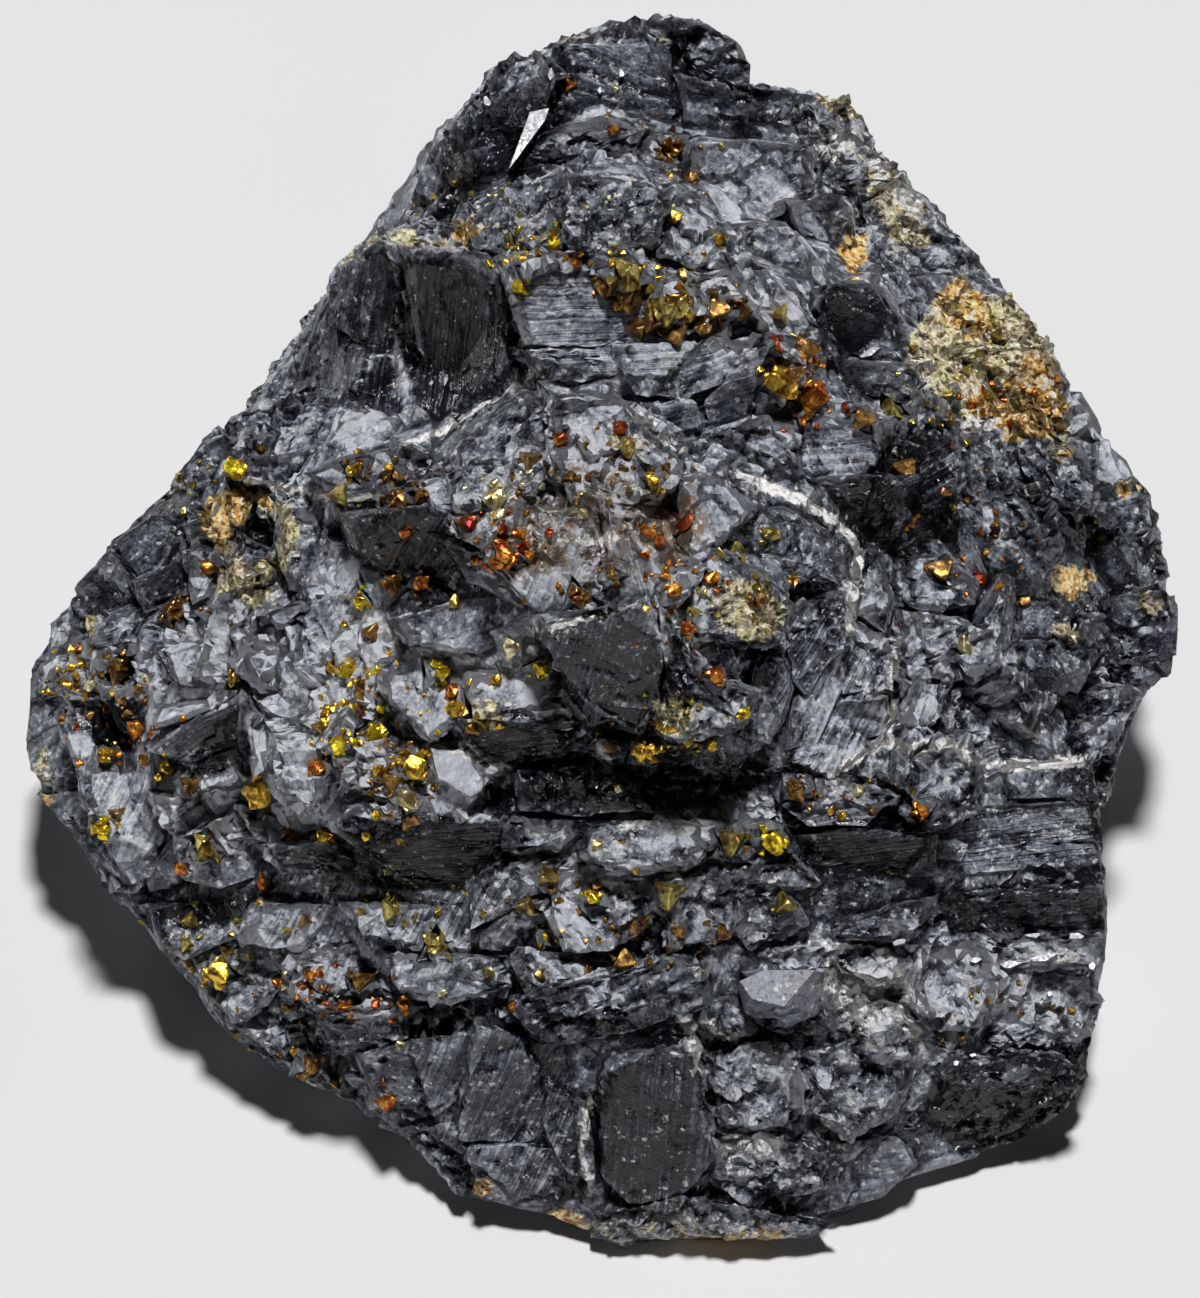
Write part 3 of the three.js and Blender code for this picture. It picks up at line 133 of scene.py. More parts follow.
# How light or dark a place looks: frosted cleavage above nought, black glassy faces below it. Some rows are
# painted shade, dark along the fronts of the ledges and under the nose, and some are painted light, lifting
# places that the key light leaves in shadow.
TONES_WITH_PAINTED_LIGHT_AND_SHADE = (
    (16, 41, 9, 5, -60, 0.75), (3, 32.5, 13, 5, 0, 0.75), (-12, 23.3, 6, 2.6, 8, 0.1),
    (-19.5, 28, 3, 2.4, 0, 0.6), (25.5, -3.5, 3, 5, -20, 0.9), (19, 0, 4, 8, -28, -0.15),
    (34, 0, 7, 6, 0, 0.3), (42.5, -19, 8, 3.6, 0, 0.1), (-33, -3, 14, 10, 0, 0.78),
    (-47, -15, 4.5, 6, 20, 0.6), (-33.6, -8.3, 1.6, 3.6, 8, 1.0), (-20, -28, 13, 5, 8, 0.4),
    (-3, -24, 9, 4, 15, 0.4), (6, -18.5, 8, 3, 0, 0.1), (-11, -45, 9, 9, 0, -0.33),
    (38, -34, 10, 5, 0, 0.52), (20, -43, 8, 6, 0, 0.2), (13, -51, 6, 5, 0, 0.05),
    (-24, 22.5, 4, 2.4, 0, 0.6), (-26, 3, 4, 6, 0, 0.4), (-36, -15, 11, 6, 0, 0.8),
    (24.5, 20.5, 4.5, 3.6, 0, 0.4), (-1, 13, 11, 8, 0, 0.9), (18, -34.2, 3.6, 2.2, 0, 0.9),
    (36, -8, 9, 2.4, 0, 0.4), (-10, -3.2, 5, 2, -5, 0.5), (-16.5, -10, 3, 2.4, -30, 0.6),
    (2, -2.5, 7, 6, 15, -0.95), (-20, 10, 6.5, 4, -20, -0.8), (4, -13.2, 12, 2.2, 4, -1.2),
    (-22, -20.5, 11, 3, 0, -0.9), (-8.5, -9, 6, 2.4, -20, -0.7), (26, -19.5, 8, 2.8, 0, -0.9),
    (42, -26, 9, 2.2, 0, -0.8), (28, 13, 6, 5, 20, -0.8), (-15, 33, 6, 6, 0, -0.45),
    (34, 15, 4.5, 5, 0, -0.6), (43.5, 8, 3.5, 3, 0, -0.5), (-9, 52, 8, 6, 0, -0.2),
    (2, 57, 10, 5, 0, 0.0), (11, 57.5, 6, 4, 0, -0.4), (-27, 31, 4, 8, 0, -0.3),
    (5.5, -47.5, 6, 8.5, 0, -0.75), (42, -46, 9, 4, 12, -0.6), (-41, -8.5, 6, 3.6, 25, -0.2),
    (4, 50, 10, 4, 0, 0.25), (-18, -36.8, 18, 1.2, 12, -0.5), (8, -38, 14, 1.4, 0, -0.4),
    (-49, -7.3, 4, 2.4, -35, -0.9), (25, 34, 4, 3.6, 0, -0.7), (18, -37.4, 4, 1.6, 0, -1.0),
    (-38, -25.5, 10, 1.4, 12, -0.9), (46, 16, 8, 7, 0, -0.3), (52, 4, 6, 9, 0, -0.3),
    (-44, 12, 7, 5, 40, -0.4), (-19, 17, 2.6, 2, 0, 0.8), (-2.5, 52.5, 3, 3, 0, 0.6),
    (3.5, 26, 5, 2.4, 0, 0.6), (19.5, 24, 3.6, 3.4, 0, 0.9), (13, 33, 4, 3, 0, 0.4),
    (2.5, 35, 4, 2, 0, 0.5), (-10, 38, 3, 2.4, 0, 0.5), (42.5, 24.5, 5, 4, -40, 0.6),
    (48, 20, 5, 5, 0, 0.5), (8.4, 7, 2.2, 8, -5, 1.1), (-12, 12, 4, 3, 0, 0.35),
    (-23, -13.5, 5, 3, 0, 0.9), (-16, -13, 3, 3, 0, 0.5), (-6, -4, 2.4, 2.4, 0, 0.8),
    (-14, -2.4, 3, 2, 0, 0.7), (12, -17.5, 6, 2.0, 12, 0.9), (-29, -18.5, 4, 2, 0, 0.4),
    (-7, -29, 4, 2.4, 0, 0.4), (7, -22, 4, 1.6, 10, 0.35), (30, -39, 4, 3, 0, 0.5),
    (36, -14, 3, 2.4, 0, -0.3), (51, -16, 5, 5, 0, -0.7), (49, -20, 4, 5, 0, -0.5),
    (-13, 24, 4, 3, 0, -0.35), (-34, -26.5, 5, 2, 0, 0.3), (-50, -4, 6, 6, 0, 0.45),
    (-19, -36, 4, 2, 0, 0.6), (-30, 2, 4, 4, 0, -0.45), (0, 44.5, 4, 3, 0, -0.4),
    (13, 45.5, 8, 3, -20, -0.35), (16.5, 35, 4, 3, 0, -0.3), (15, 2, 3, 3, 0, -0.3),
    (24, -9, 4, 3, 0, -0.45), (37.5, -8, 5, 3, 0, -0.45), (48, -4, 4, 8, 0, -0.3),
    (2.5, -19, 3, 2, 0, -0.4), (-14, -25.5, 4, 2.5, 0, -0.4), (26, -25, 5, 4, 0, -0.4),
    (24.5, -34, 4, 3, 0, -0.25), (25, -44, 4, 3, 0, -0.35), (34, 5, 5, 4, 0, -0.2),
    (-17, 36, 3, 3, 0, -0.3),
)

# Single facets: corners, tone, how smooth, which way the growth lines run in degrees (None without
# lines) and how steeply the facet rises to the right and upwards. The dark tones of the bands along the
# fronts of the ledges are painted shade.
FACETS = (
    (
        ((-6.6, 1.8), (3.5, 4.4), (5.9, 4.1), (7.5, -1.1), (6.1, -2.5), (6.1, -7.6), (2.5, -9.5),
         (-1.5, -8.2), (-4.2, -2.1), (-5.9, 1.0)),
        -0.42, 0.7, 72, 0.0, 0.10,
    ),
    (
        ((-1.5, 12.8), (1.5, 13.2), (4.8, 8.5), (6.6, 3.8), (7.3, -0.9), (6.1, -1.5), (4.6, 4.2),
         (1.0, 9.0)),
        0.15, 0.7, 108, 0.0, 0.0,
    ),
    (
        ((-46.0, -9.5), (-35.2, -4.8), (-39.5, -9.0), (-41.4, -12.4)),
        -0.25, 0.9, 35, -0.1, 0.2,
    ),
    (
        ((-35.2, -4.8), (-35.0, -8.5), (-36.4, -11.8), (-41.4, -12.4), (-39.5, -9.0)),
        -0.7, 0.9, None, 0.2, 0.1,
    ),
    (
        ((-34.9, -7.3), (-32.8, -8.0), (-33.1, -10.8), (-34.6, -13.3)),
        1.1, 0.9, 80, -0.1, -0.2,
    ),
    (
        ((-35.2, -8.3), (-34.8, -13.1), (-36.4, -11.8)),
        -1.0, 0.9, None, 0.4, 0.1,
    ),
    (
        ((-8.7, 37.1), (-2.1, 37.8), (3.5, 35.8), (8.5, 33.5), (10.0, 30.5), (6.5, 27.2), (0.0, 27.5),
         (-7.0, 29.1)),
        0.28, 0.7, 2, 0.03, -0.08,
    ),
    (
        ((10.5, 30.5), (16.7, 29.8), (14.6, 22.8), (7.7, 20.4), (4.9, 24.9), (7.0, 27.2)),
        0.1, 0.6, 18, 0.06, 0.10,
    ),
    (
        ((0.7, -42.6), (6.2, -39.7), (9.1, -40.4), (10.9, -47.7), (11.6, -52.8), (6.9, -56.5),
         (0.7, -55.0), (-1.1, -47.0)),
        -0.5, 0.82, 84, 0.10, -0.04,
    ),
    (
        ((-19.0, -40.0), (-12.0, -37.5), (-3.5, -39.5), (-2.5, -47.0), (-1.8, -55.0), (-8.0, -55.0),
         (-16.0, -49.0)),
        -0.25, 0.7, 66, -0.05, 0.0,
    ),
    (
        ((-19.9, 38.9), (-12.2, 38.2), (-9.1, 36.1), (-8.6, 28.2), (-13.0, 25.0), (-16.1, 22.8),
         (-18.5, 24.9), (-20.3, 31.9)),
        -0.65, 0.8, 84, 0.10, 0.0,
    ),
    (
        ((-23.0, 41.0), (-20.4, 38.2), (-20.7, 30.5), (-19.8, 23.5), (-27.9, 24.9), (-28.0, 32.6)),
        -0.45, 0.75, 80, -0.12, 0.0,
    ),
    (
        ((-16.1, 50.0), (-12.6, 54.9), (-5.6, 57.7), (-2.1, 53.5), (-9.1, 48.0), (-16.1, 43.0)),
        -0.55, 0.6, None, -0.05, 0.1,
    ),
    (
        ((-3.5, 60.5), (7.0, 60.5), (7.4, 54.3), (-2.5, 54.0)),
        -0.2, 0.3, None, 0.0, 0.32,
    ),
    (
        ((22.3, 36.1), (27.2, 36.4), (29.3, 33.3), (25.8, 29.1), (23.0, 31.2)),
        -0.75, 0.8, None, 0.1, 0.2,
    ),
    (
        ((11.2, 50.7), (17.4, 48.0), (23.0, 41.0), (21.6, 34.0), (16.0, 36.1), (11.8, 41.0),
         (10.5, 47.3)),
        0.3, 0.1, None, 0.05, 0.0,
    ),
    (
        ((28.1, 21.1), (35.5, 21.1), (36.5, 16.6), (33.6, 11.4), (29.7, 9.2), (26.1, 12.1),
         (27.1, 16.0)),
        -0.7, 0.7, 30, 0.1, 0.15,
    ),
    (
        ((19.3, 22.0), (27.0, 22.6), (28.0, 18.5), (24.0, 16.8), (20.0, 18.0)),
        0.05, 0.6, 4, 0.0, -0.1,
    ),
    (
        ((25.2, 1.1), (29.0, -0.8), (28.4, -8.6), (23.2, -12.8), (19.3, -11.2), (21.9, -5.4)),
        0.2, 0.5, 62, -0.1, -0.1,
    ),
    (
        ((-24.2, 11.5), (-19.7, 14.2), (-15.1, 13.5), (-13.4, 10.6), (-14.6, 5.5), (-19.1, 7.2),
         (-23.7, 8.3)),
        -0.75, 0.7, 60, 0.0, 0.15,
    ),
    (
        ((-26.5, -20.5), (-20.0, -18.2), (-11.0, -15.5), (-9.0, -19.0), (-14.0, -24.0), (-24.0, -23.5)),
        -0.75, 0.6, 5, 0.0, 0.15,
    ),
    (
        ((-14.5, -6.8), (-8.0, -6.0), (-4.0, -8.0), (-2.5, -12.5), (-8.0, -12.0), (-12.0, -10.0)),
        -0.8, 0.6, 10, 0.0, 0.1,
    ),
    (
        ((-18.0, -9.8), (-14.0, -9.6), (-11.7, -12.0), (-11.0, -16.9), (-17.0, -16.5)),
        0.85, 0.6, 84, 0.05, 0.0,
    ),
    (
        ((-52.0, -6.0), (-46.5, -4.6), (-45.5, -8.0), (-50.5, -9.8)),
        -0.9, 0.85, None, 0.1, 0.1,
    ),
    (
        ((-51.0, -12.0), (-45.0, -12.0), (-43.5, -19.0), (-48.0, -22.5), (-50.5, -18.0)),
        0.45, 0.7, 68, 0.1, 0.0,
    ),
    (
        ((18.5, -17.0), (26.0, -15.6), (33.5, -18.5), (30.0, -22.8), (20.0, -21.5)),
        -0.65, 0.5, 8, 0.0, 0.12,
    ),
    (
        ((34.5, -16.0), (49.0, -15.2), (50.0, -21.5), (36.0, -22.5)),
        -0.1, 0.6, 6, 0.0, -0.1,
    ),
    (
        ((34.0, -24.0), (50.0, -23.2), (50.0, -28.0), (35.0, -28.2)),
        -0.65, 0.6, 4, 0.0, 0.15,
    ),
    (
        ((34.0, -41.5), (49.0, -40.0), (48.0, -47.0), (36.0, -50.5), (32.0, -47.0)),
        -0.6, 0.4, None, 0.0, 0.1,
    ),
)

# Striated faces: a, b, half-width, half-height, turn, and which way the lines run, in degrees.
STRIATIONS = (
    (-38, -4, 8, 5, 0, 62), (22, -2, 6, 9, 0, 58), (34, -4, 8, 6, 0, 66), (40, -35, 11, 6, 0, 74),
    (-2, 8, 8, 6, 0, 64), (-22, -28, 12, 7, 0, 64), (44, -45, 9, 5, 0, 16),
)

# Pale carbonate in the crevices: width, then the places that each film runs through.
PALE_SEAMS = (
    (1.0, ((14, 17.5), (17, 16.3), (20, 15), (23, 13.2), (25, 11.5), (26, 10), (25.3, 6), (25, 2))),
    (0.9, ((29.5, 1), (29.5, -4), (29, -8), (28.7, -9), (26, -10.6), (23, -12.5))),
    (1.1, ((28.8, -9), (31, -9.8), (35, -9.3), (36, -10), (38, -11.3), (42, -11.6), (48, -11))),
    (0.7, ((41, -5.5), (42.5, -7), (43.5, -9))),
    (0.7, ((-37, 17.4), (-34, 16.6), (-30, 16), (-26, 15), (-22, 15.4))),
    (0.8, ((-20, -8.6), (-14, -10), (-10, -12))),
    (0.9, ((-0.3, -9.6), (0.4, -11), (1, -12.8))),
    (0.8, ((-7, 0), (-5, -3), (-2, -7))),
    (0.5, ((-20, 20.5), (-15, 22), (-11, 25), (-7, 27.3))),
    (0.8, ((3.8, 23.5), (6, 21.5), (8.4, 20.2))),
    (0.7, ((-1, -45), (-1.6, -50), (-0.6, -55))),
    (0.8, ((-24, 4), (-21, 1.5), (-19, -1), (-16, 0), (-12, -1.2))),
    (0.7, ((8, -37), (10, -39.4), (9.4, -42))),
    (0.8, ((12, -50), (14.5, -48.4), (17, -49.6), (18, -48))),
    (0.9, ((29, -31), (31, -34), (30.5, -37), (32, -40))),
    (0.6, ((-52, 12), (-47, 14), (-42, 16.5))),
    (0.5, ((-6.5, 1.9), (-1, 3.2), (4.2, 4.6))),
)
PALE_PATCHES = (
    (26, -34.5, 5, 4, -40, 0.62), (10, -38.5, 3, 2, 0, 0.6), (15, -49.5, 3.6, 2, 0, 0.62),
    (7, -17, 7, 1.2, 4, 0.7), (-22.6, 24.5, 3, 1.4, 0, 0.3), (-19.5, 27.5, 1.8, 2, 0, 0.5),
    (32.5, 27.5, 1.4, 4, 10, 0.55), (34, -9.6, 3, 0.9, 0, 0.6), (37.8, 22.6, 2.0, 1.2, -30, 1.6),
    (24, 51, 1.3, 1, 0, 0.9), (22.5, 49.4, 1, 0.8, 0, 0.8), (28, 48, 1.2, 1.4, 0, 0.9),
    (31, 45.6, 1.4, 1.8, 20, 1.0), (22, -15, 3, 1, 20, 0.5), (-3, 1.2, 3, 0.7, -20, 0.5),
    (0, 11, 2.2, 0.8, 0, 0.9), (-10, 15, 2, 1.6, 0, 0.8), (-13.5, 12.5, 1.6, 1.6, 0, 0.7),
    (-41, -27.5, 4, 1, 14, 0.4), (22, -29.5, 6, 0.8, 8, 0.5), (44, -30.6, 5, 0.6, 0, 0.7),
    (-25.5, 3.6, 2.4, 3.4, 0, 0.45), (20, 7, 2, 5, 20, 0.35),
)

# Earthy stains: the strongest ochre, paler tan and yellow-green.
OCHRE_PATCHES = (
    (41.5, 23.8, 5.5, 2.6, -10, 1.15), (36.5, 34, 4, 3, -40, 0.8), (44, 26, 3, 4, 0, 0.8),
    (25.6, 39.5, 1.3, 2.4, -10, 1.0), (-37.4, 13.6, 2.4, 2.2, 0, 1.1), (-35, 14.7, 3, 1, 0, 0.9),
    (-38, 11.4, 1.4, 2, 0, 0.8), (47, 7, 2, 1.6, 0, 0.9), (53, 16.5, 1, 1, 0, 0.7),
    (46.5, 19.5, 1, 0.8, 0, 0.7), (-13.5, 42, 1.6, 1.2, 0, 0.9), (-3, -57.3, 3, 1.2, -30, 0.7),
    (-12, -54, 1.4, 1, 0, 0.7), (12, -59.5, 9, 1.4, 6, 0.7), (-55.5, -15.5, 1.4, 2, 0, 0.6),
    (-3, 61, 3, 1, 0, 0.5), (7, 61.3, 2.4, 0.8, 0, 0.5), (-33.6, 9.6, 1, 1.8, 0, 0.7),
)
TAN_PATCHES = (
    (39.5, 29, 7, 6.8, -30, 1.05), (46, 21, 2.6, 2.4, 0, 0.6), (33, 30, 2.6, 4, 0, 0.6),
    (24, 55, 2.6, 1.2, -20, 0.9), (27, 50, 4, 4, 45, 0.5), (30, 43.5, 3, 4.5, 35, 0.7),
    (-35.5, 6, 3.4, 1.8, -10, 0.9), (-37, 13, 3.6, 3, 0, 0.8), (-32, 12.5, 1, 2.4, 0, 0.8),
    (-18.5, 41, 6, 1.2, -6, 0.7), (-25.5, 39.5, 2, 2, 0, 0.6), (14.5, 4.5, 4.4, 3.4, -20, 0.75),
    (7.6, -6.5, 2.2, 2.6, 0, 0.8), (47, 2, 2, 1.6, 0, 0.8), (55, 5, 1.6, 1.4, 0, 0.8),
    (2.8, 20.6, 2.4, 1.2, 0, 0.7), (29, 24, 1.8, 1.6, 0, 0.5), (-12.4, -6.6, 2.6, 1.6, 0, 0.7),
    (2, -58.5, 14, 2, 0, 0.55), (-20, -50, 4, 1.6, -45, 0.5), (20, -17.8, 3, 1, 0, 0.4),
    (3.2, 8.4, 1.2, 3.6, 20, 0.45), (-55.5, -12, 1.2, 5, 0, 0.6), (-47, -1.8, 2.4, 1, 0, 0.4),
    (38, -36, 8, 4, 0, 0.25),
)
BROWN_PATCHES = (
    (22, 36, 4, 9, 35, 0.4), (-1, 13, 11, 7, 0, 0.8), (38, -37, 12, 6, 0, 0.42), (14, 34, 6, 3, 0, 0.5),
    (10, -57, 16, 4, 0, 0.6), (50, 12, 8, 8, 0, 0.35), (-9, 9, 4, 2.4, 0, 0.5), (-10, 57, 5, 3, 0, 0.3),
    (8, 12, 3, 5, 0, 0.5), (-13, -15.5, 2.4, 1.4, 30, 0.6), (20, 53, 5, 4, 0, 0.45),
)

# The dark pit in the ochre ring: a, b, radius, depth.
PIT = (-34.2, 11.4, 2.2, 1.0)

# Small chalcopyrite grains by colour: a, b, width.
GRAINS = {
    "gold": (
        (-34, 20.3, 0.7), (-21, 18.2, 1.2), (-37.5, 8, 0.7), (-53.7, -6.8, 0.8), (-45.5, -3, 0.7),
        (-27, -1.8, 1.2), (-24, -3.5, 1.5), (-25.5, 2.5, 0.8), (-14.5, -5.9, 1.5), (-27.8, -4.7, 0.6),
        (-22, -12, 1.2), (-21.2, -16.6, 0.9), (-23.5, -18.5, 1), (-34, -25.3, 0.6), (-45.5, -11, 1),
        (-26.5, -43.3, 1), (23.2, -16.2, 0.8), (-7.5, 5, 0.6), (-10.3, -3, 1.3), (19.5, 7, 1),
        (-10, -7.5, 1), (7.4, 43.3, 1.5), (6.8, 47.5, 0.8), (11.8, 41, 1.5), (0.8, 53.5, 0.6),
        (2, 34.6, 1.3), (6.8, 34, 1.4), (9, 33.4, 1.1), (5, 36.2, 1.2), (19.5, 25.5, 1.2),
        (20.8, 23.4, 1.0),
    ),
    "olive": (
        (-26, 15.6, 1.5), (-41, -27, 1.5), (-41.3, -29.5, 1.2), (-40.8, -31.5, 1.3), (-21, -26, 1.5),
        (-31.3, -35.8, 0.9), (-11, -32.3, 1.1), (2.8, 20, 1.6), (13.2, 9.8, 1.8), (-14.5, 4.8, 1.4),
        (16.8, 11.7, 1.8), (-11.6, -7.2, 1.5), (-8.5, 41, 1.7), (18, 33.5, 1.5),
    ),
    "brown": (
        (-17.8, 15.2, 1.5), (-22.8, 1.8, 1.5), (-28, -7.7, 1.3), (-20.5, -13, 2), (-19, -17, 1.5),
        (-31, -18.5, 1.5), (-48.5, -16.5, 1.2), (-29.5, -27, 1), (-6, -32.5, 1.2), (3.5, -28, 1.3),
        (-1.3, -32, 1), (7.8, -28, 1.4), (12.2, -28.3, 1.4), (-7, 19, 1.6), (1, -9.8, 1.2),
        (15.8, 5.2, 1.4), (-13.4, -6.2, 1.6), (-12.7, -7.9, 1.3), (14.3, 34, 1.6), (9, 47, 1.3),
        (20.5, 30, 2), (30.5, 17.8, 2), (42.4, 4.8, 1), (0.5, 36.3, 2.0), (3.2, 35.4, 2.2),
        (5.6, 33.2, 2.3), (3.8, 32.2, 1.8), (7.6, 31.6, 2.2), (10.2, 32.2, 1.6), (19.3, 27.6, 1.7),
        (21.4, 25.6, 1.5),
    ),
    "orange": (
        (-19.3, 11.8, 1.2), (-39.3, 8.2, 1.6), (-52, 0, 1), (-52.3, -7.6, 0.7), (-14.7, -4.2, 1.4),
        (-28.3, -12, 1.6), (-42, -21.8, 1.2), (-33.5, -23.3, 1.4), (-46.5, -8, 1.5), (-28.8, -32.7, 0.9),
        (-22.5, -35.5, 0.9), (-20.8, -37, 0.7), (-8.6, -35.6, 1.2), (-21.2, -45, 1.7), (-4, 21.2, 1.2),
        (4.8, 12, 1.3), (6, 11, 1.2), (11, 7, 1.5), (7.3, 6, 1.3), (8.7, 2.2, 1.3), (-2.6, 38.8, 1.5),
        (20.2, 22.8, 0.9), (21.3, 28.8, 1), (-3.1, 56.3, 1.3), (1.3, 52, 1),
    ),
    "pale": (
        (-50.7, 2.7, 1.5), (-51, -3.5, 1.3), (-47, -26.8, 1.5), (-31.5, -33, 1.6), (-15.7, -34.3, 0.9),
        (-20, -39.5, 0.9), (-0.3, -19.5, 1), (25.8, -14.2, 1.2), (1.8, -13.8, 0.8), (-10.5, 15, 2.2),
        (-9, 0.3, 1.8), (36.5, 0.6, 1.5),
    ),
    "yellow": (
        (-55.2, -4.2, 0.7), (-25.2, -1.9, 1.5), (-25.6, -5.2, 0.7), (-22.4, -16.5, 1),
        (24.1, -16.5, 0.8), (14.3, -6.3, 1), (-11.2, 38.5, 1), (-8.3, 36.3, 1.5),
    ),
    "red": (
        (2, 22.3, 1.2), (8.3, 13, 1.6), (17.5, 31, 2), (38, 7, 1.3),
    ),
}

# Swarms of specks round the clusters: colour, a, b, half-width, half-height, how many.
SWARMS = (
    ("gold", -25, -4, 4, 8, 34), ("yellow", -25, -7, 5, 6, 16), ("brown", -24, -12, 6, 6, 22),
    ("gold", -20, -13, 4, 4, 20), ("orange", -46, -9, 6, 3, 24), ("gold", -52, -3, 4, 3, 20),
    ("brown", -48, -4, 5, 4, 18), ("orange", -9, 11, 5, 3, 26), ("red", -9, 11, 4, 3, 16),
    ("orange", 8, 7, 5, 7, 30), ("brown", 0, 17, 9, 5, 36), ("olive", 12, 5, 5, 4, 24),
    ("pale", -8, 16, 6, 3, 18), ("gold", 3, 38, 9, 3, 30), ("brown", 9, 34, 5, 3, 30),
    ("orange", 21, 27, 2.5, 5, 18), ("red", 20, 26, 3, 5, 12), ("olive", 7, -7, 6, 3, 24),
    ("gold", 6, -9.5, 7, 1.5, 16), ("orange", -26, -34, 8, 3, 26), ("olive", -38, -30, 6, 4, 22),
    ("brown", 4, -30, 9, 3, 22), ("brown", -2, -25, 9, 5, 18), ("olive", -18, -25, 10, 3, 18),
    ("gold", -8, 40, 4, 3, 16), ("brown", -21, 17, 4, 2.5, 22), ("olive", -38, 17, 5, 4, 20),
    ("brown", 24, -15, 6, 2, 14), ("orange", 38, 10, 8, 8, 16), ("brown", 40, 16, 9, 7, 20),
    ("olive", 38, 27, 7, 8, 40), ("orange", 40, 25, 6, 4, 20), ("brown", 8, 50, 3, 2, 12),
    ("pale", 2, 50, 8, 6, 12), ("olive", -14, 45, 6, 3, 14), ("brown", 38, -36, 10, 5, 14),
    ("brown", -33, -40, 9, 4, 16), ("gold", -15, -5, 3, 4, 14), ("brown", -41, 3, 4, 3, 10),
)

# Polished facets that catch the light: a, b, width, height and turn in degrees.
GLINTS = (
    (-4.9, 57.6, 0.6, 1.3, -10), (2.1, 57.7, 0.7, 0.9, 0), (-11.3, 54.9, 0.8, 1.1, 20),
    (27, 29.8, 2.2, 0.7, 25), (41.1, -31.4, 2.3, 0.8, 5), (44.5, -30.7, 3.0, 0.8, 10),
    (37.6, -31, 1.3, 0.6, 0), (43.3, -28.5, 1.6, 0.6, 0), (47.5, -28.6, 1.8, 0.7, 0),
    (49.2, -31.6, 0.7, 0.8, 0), (29.8, -29.2, 1.8, 0.6, 10), (45, -34.4, 0.6, 0.5, 0),
    (35.6, -41.3, 0.6, 0.5, 0), (37.3, -40.5, 0.7, 0.4, 0), (0, 56, 0.5, 0.7, 0),
)
# Larger facets: the corners of each one's bright face and of its foot on the rock, its tone, how much of
# the rock lies behind it and how far it is turned from the light's mirror image.
BLADES = (
    (
        ((-9.1, 48.1), (-7.0, 53.8), (-5.1, 54.2), (-5.5, 53.0)),
        ((-9.0, 48.3), (-6.9, 53.8), (-5.6, 52.8)),
        0.0, 0.9, 0.0,
    ),
    (
        ((14.0, -33.1), (16.4, -32.0), (21.5, -32.0), (18.4, -35.6), (15.2, -34.9)),
        ((13.6, -33.5), (14.4, -36.4), (18.4, -38.6), (23.0, -36.2), (22.6, -32.4)),
        0.05, 1.0, -0.23,
    ),
)

# Colours of the crystals: a light and a dark tint, the tarnish over them, and how rough they are.
TINTS = {
    "yellow": ((0.95, 0.76, 0.03), (0.62, 0.40, 0.012), (0.24, 0.10, 0.01), 0.24),
    "gold": ((0.88, 0.58, 0.06), (0.42, 0.21, 0.02), (0.13, 0.045, 0.008), 0.24),
    "brown": ((0.44, 0.25, 0.06), (0.13, 0.060, 0.016), (0.14, 0.040, 0.010), 0.28),
    "olive": ((0.55, 0.45, 0.12), (0.20, 0.145, 0.033), (0.18, 0.08, 0.015), 0.28),
    "orange": ((0.70, 0.28, 0.03), (0.30, 0.08, 0.010), (0.30, 0.035, 0.008), 0.25),
    "red": ((0.56, 0.11, 0.025), (0.21, 0.03, 0.01), (0.20, 0.016, 0.010), 0.26),
    "pale": ((0.82, 0.75, 0.48), (0.46, 0.38, 0.16), (0.26, 0.15, 0.04), 0.28),
}

# The key light: how far above the viewer it stands and how far round to the right, its power and width.
KEY_TILT = 44.0
KEY_TURN = 4.0
KEY_POWER = 3.65
KEY_WIDTH = 8.0

# The low lights round the specimen: azimuth and power, then how high and wide they all are.
SIDE_LIGHTS = {"front": (0, 0.35), "right": (90, 0.6), "behind": (180, 0.7), "left": (270, 0.55)}
SIDE_ELEVATION = 1.0
SIDE_WIDTH = 10.0

# How light the studio is by height above the horizon, as the sine of the elevation.
WALL_LIGHT = ((0.0, (0.80, 0.80, 0.81)), (0.045, (0.77, 0.78, 0.80)), (0.08, 0.006))

# The table, in metres, wide enough for its edge to be out of sight.
TABLE_SIZE = 60.0

# How much of the face's plane the camera sees from top to bottom, and how far the view is shifted up.
FRAME_HEIGHT = 129.8
FRAME_RISE = 0.1

# Colours whose crystals keep flat triangular faces; the others are broken nuggets.
ANGULAR = ("olive", "brown")

# An angular crystal wider than this is a cluster of smaller ones.
CLUSTER_SIZE = 2.9

# How much wider than its row says a grain is, and how wide the specks of the swarms are: from and by up to.
GRAIN_GROWTH = 1.45
SPECK_WIDTH = 0.50
SPECK_SPREAD = 0.95

# How far off the rock behind it the middle of a blade's bright face lies.
BLADE_RISE = 0.4

# Where each kind of piece starts its random draws.
SHAPE_SEED = 3
CRYSTAL_SEED = 9
GRAIN_SEED = 5
GLINT_SEED = 12


def seen_at(points):
    """Where the viewer sees each place: a and b."""
    from_eye = points - EYE
    scale = EYE_DISTANCE / -(from_eye @ FACE_OUT)
    return (from_eye @ FACE_RIGHT) * scale, (from_eye @ FACE_UP) * scale


def sight_line(a, b):
    """The direction in which the viewer sees a place."""
    place = FACE_CENTRE + a * FACE_RIGHT + b * FACE_UP
    return unit(place - EYE)


def smoothstep(low, high, value):
    """From 0 below low to 1 above high."""
    t = np.clip((value - low) / (high - low), 0.0, 1.0)
    return t * t * (3.0 - 2.0 * t)


def unit(vectors):
    """One vector, or each row of many, one long."""
    return vectors / np.maximum(np.linalg.norm(vectors, axis=-1, keepdims=True), 1e-12)


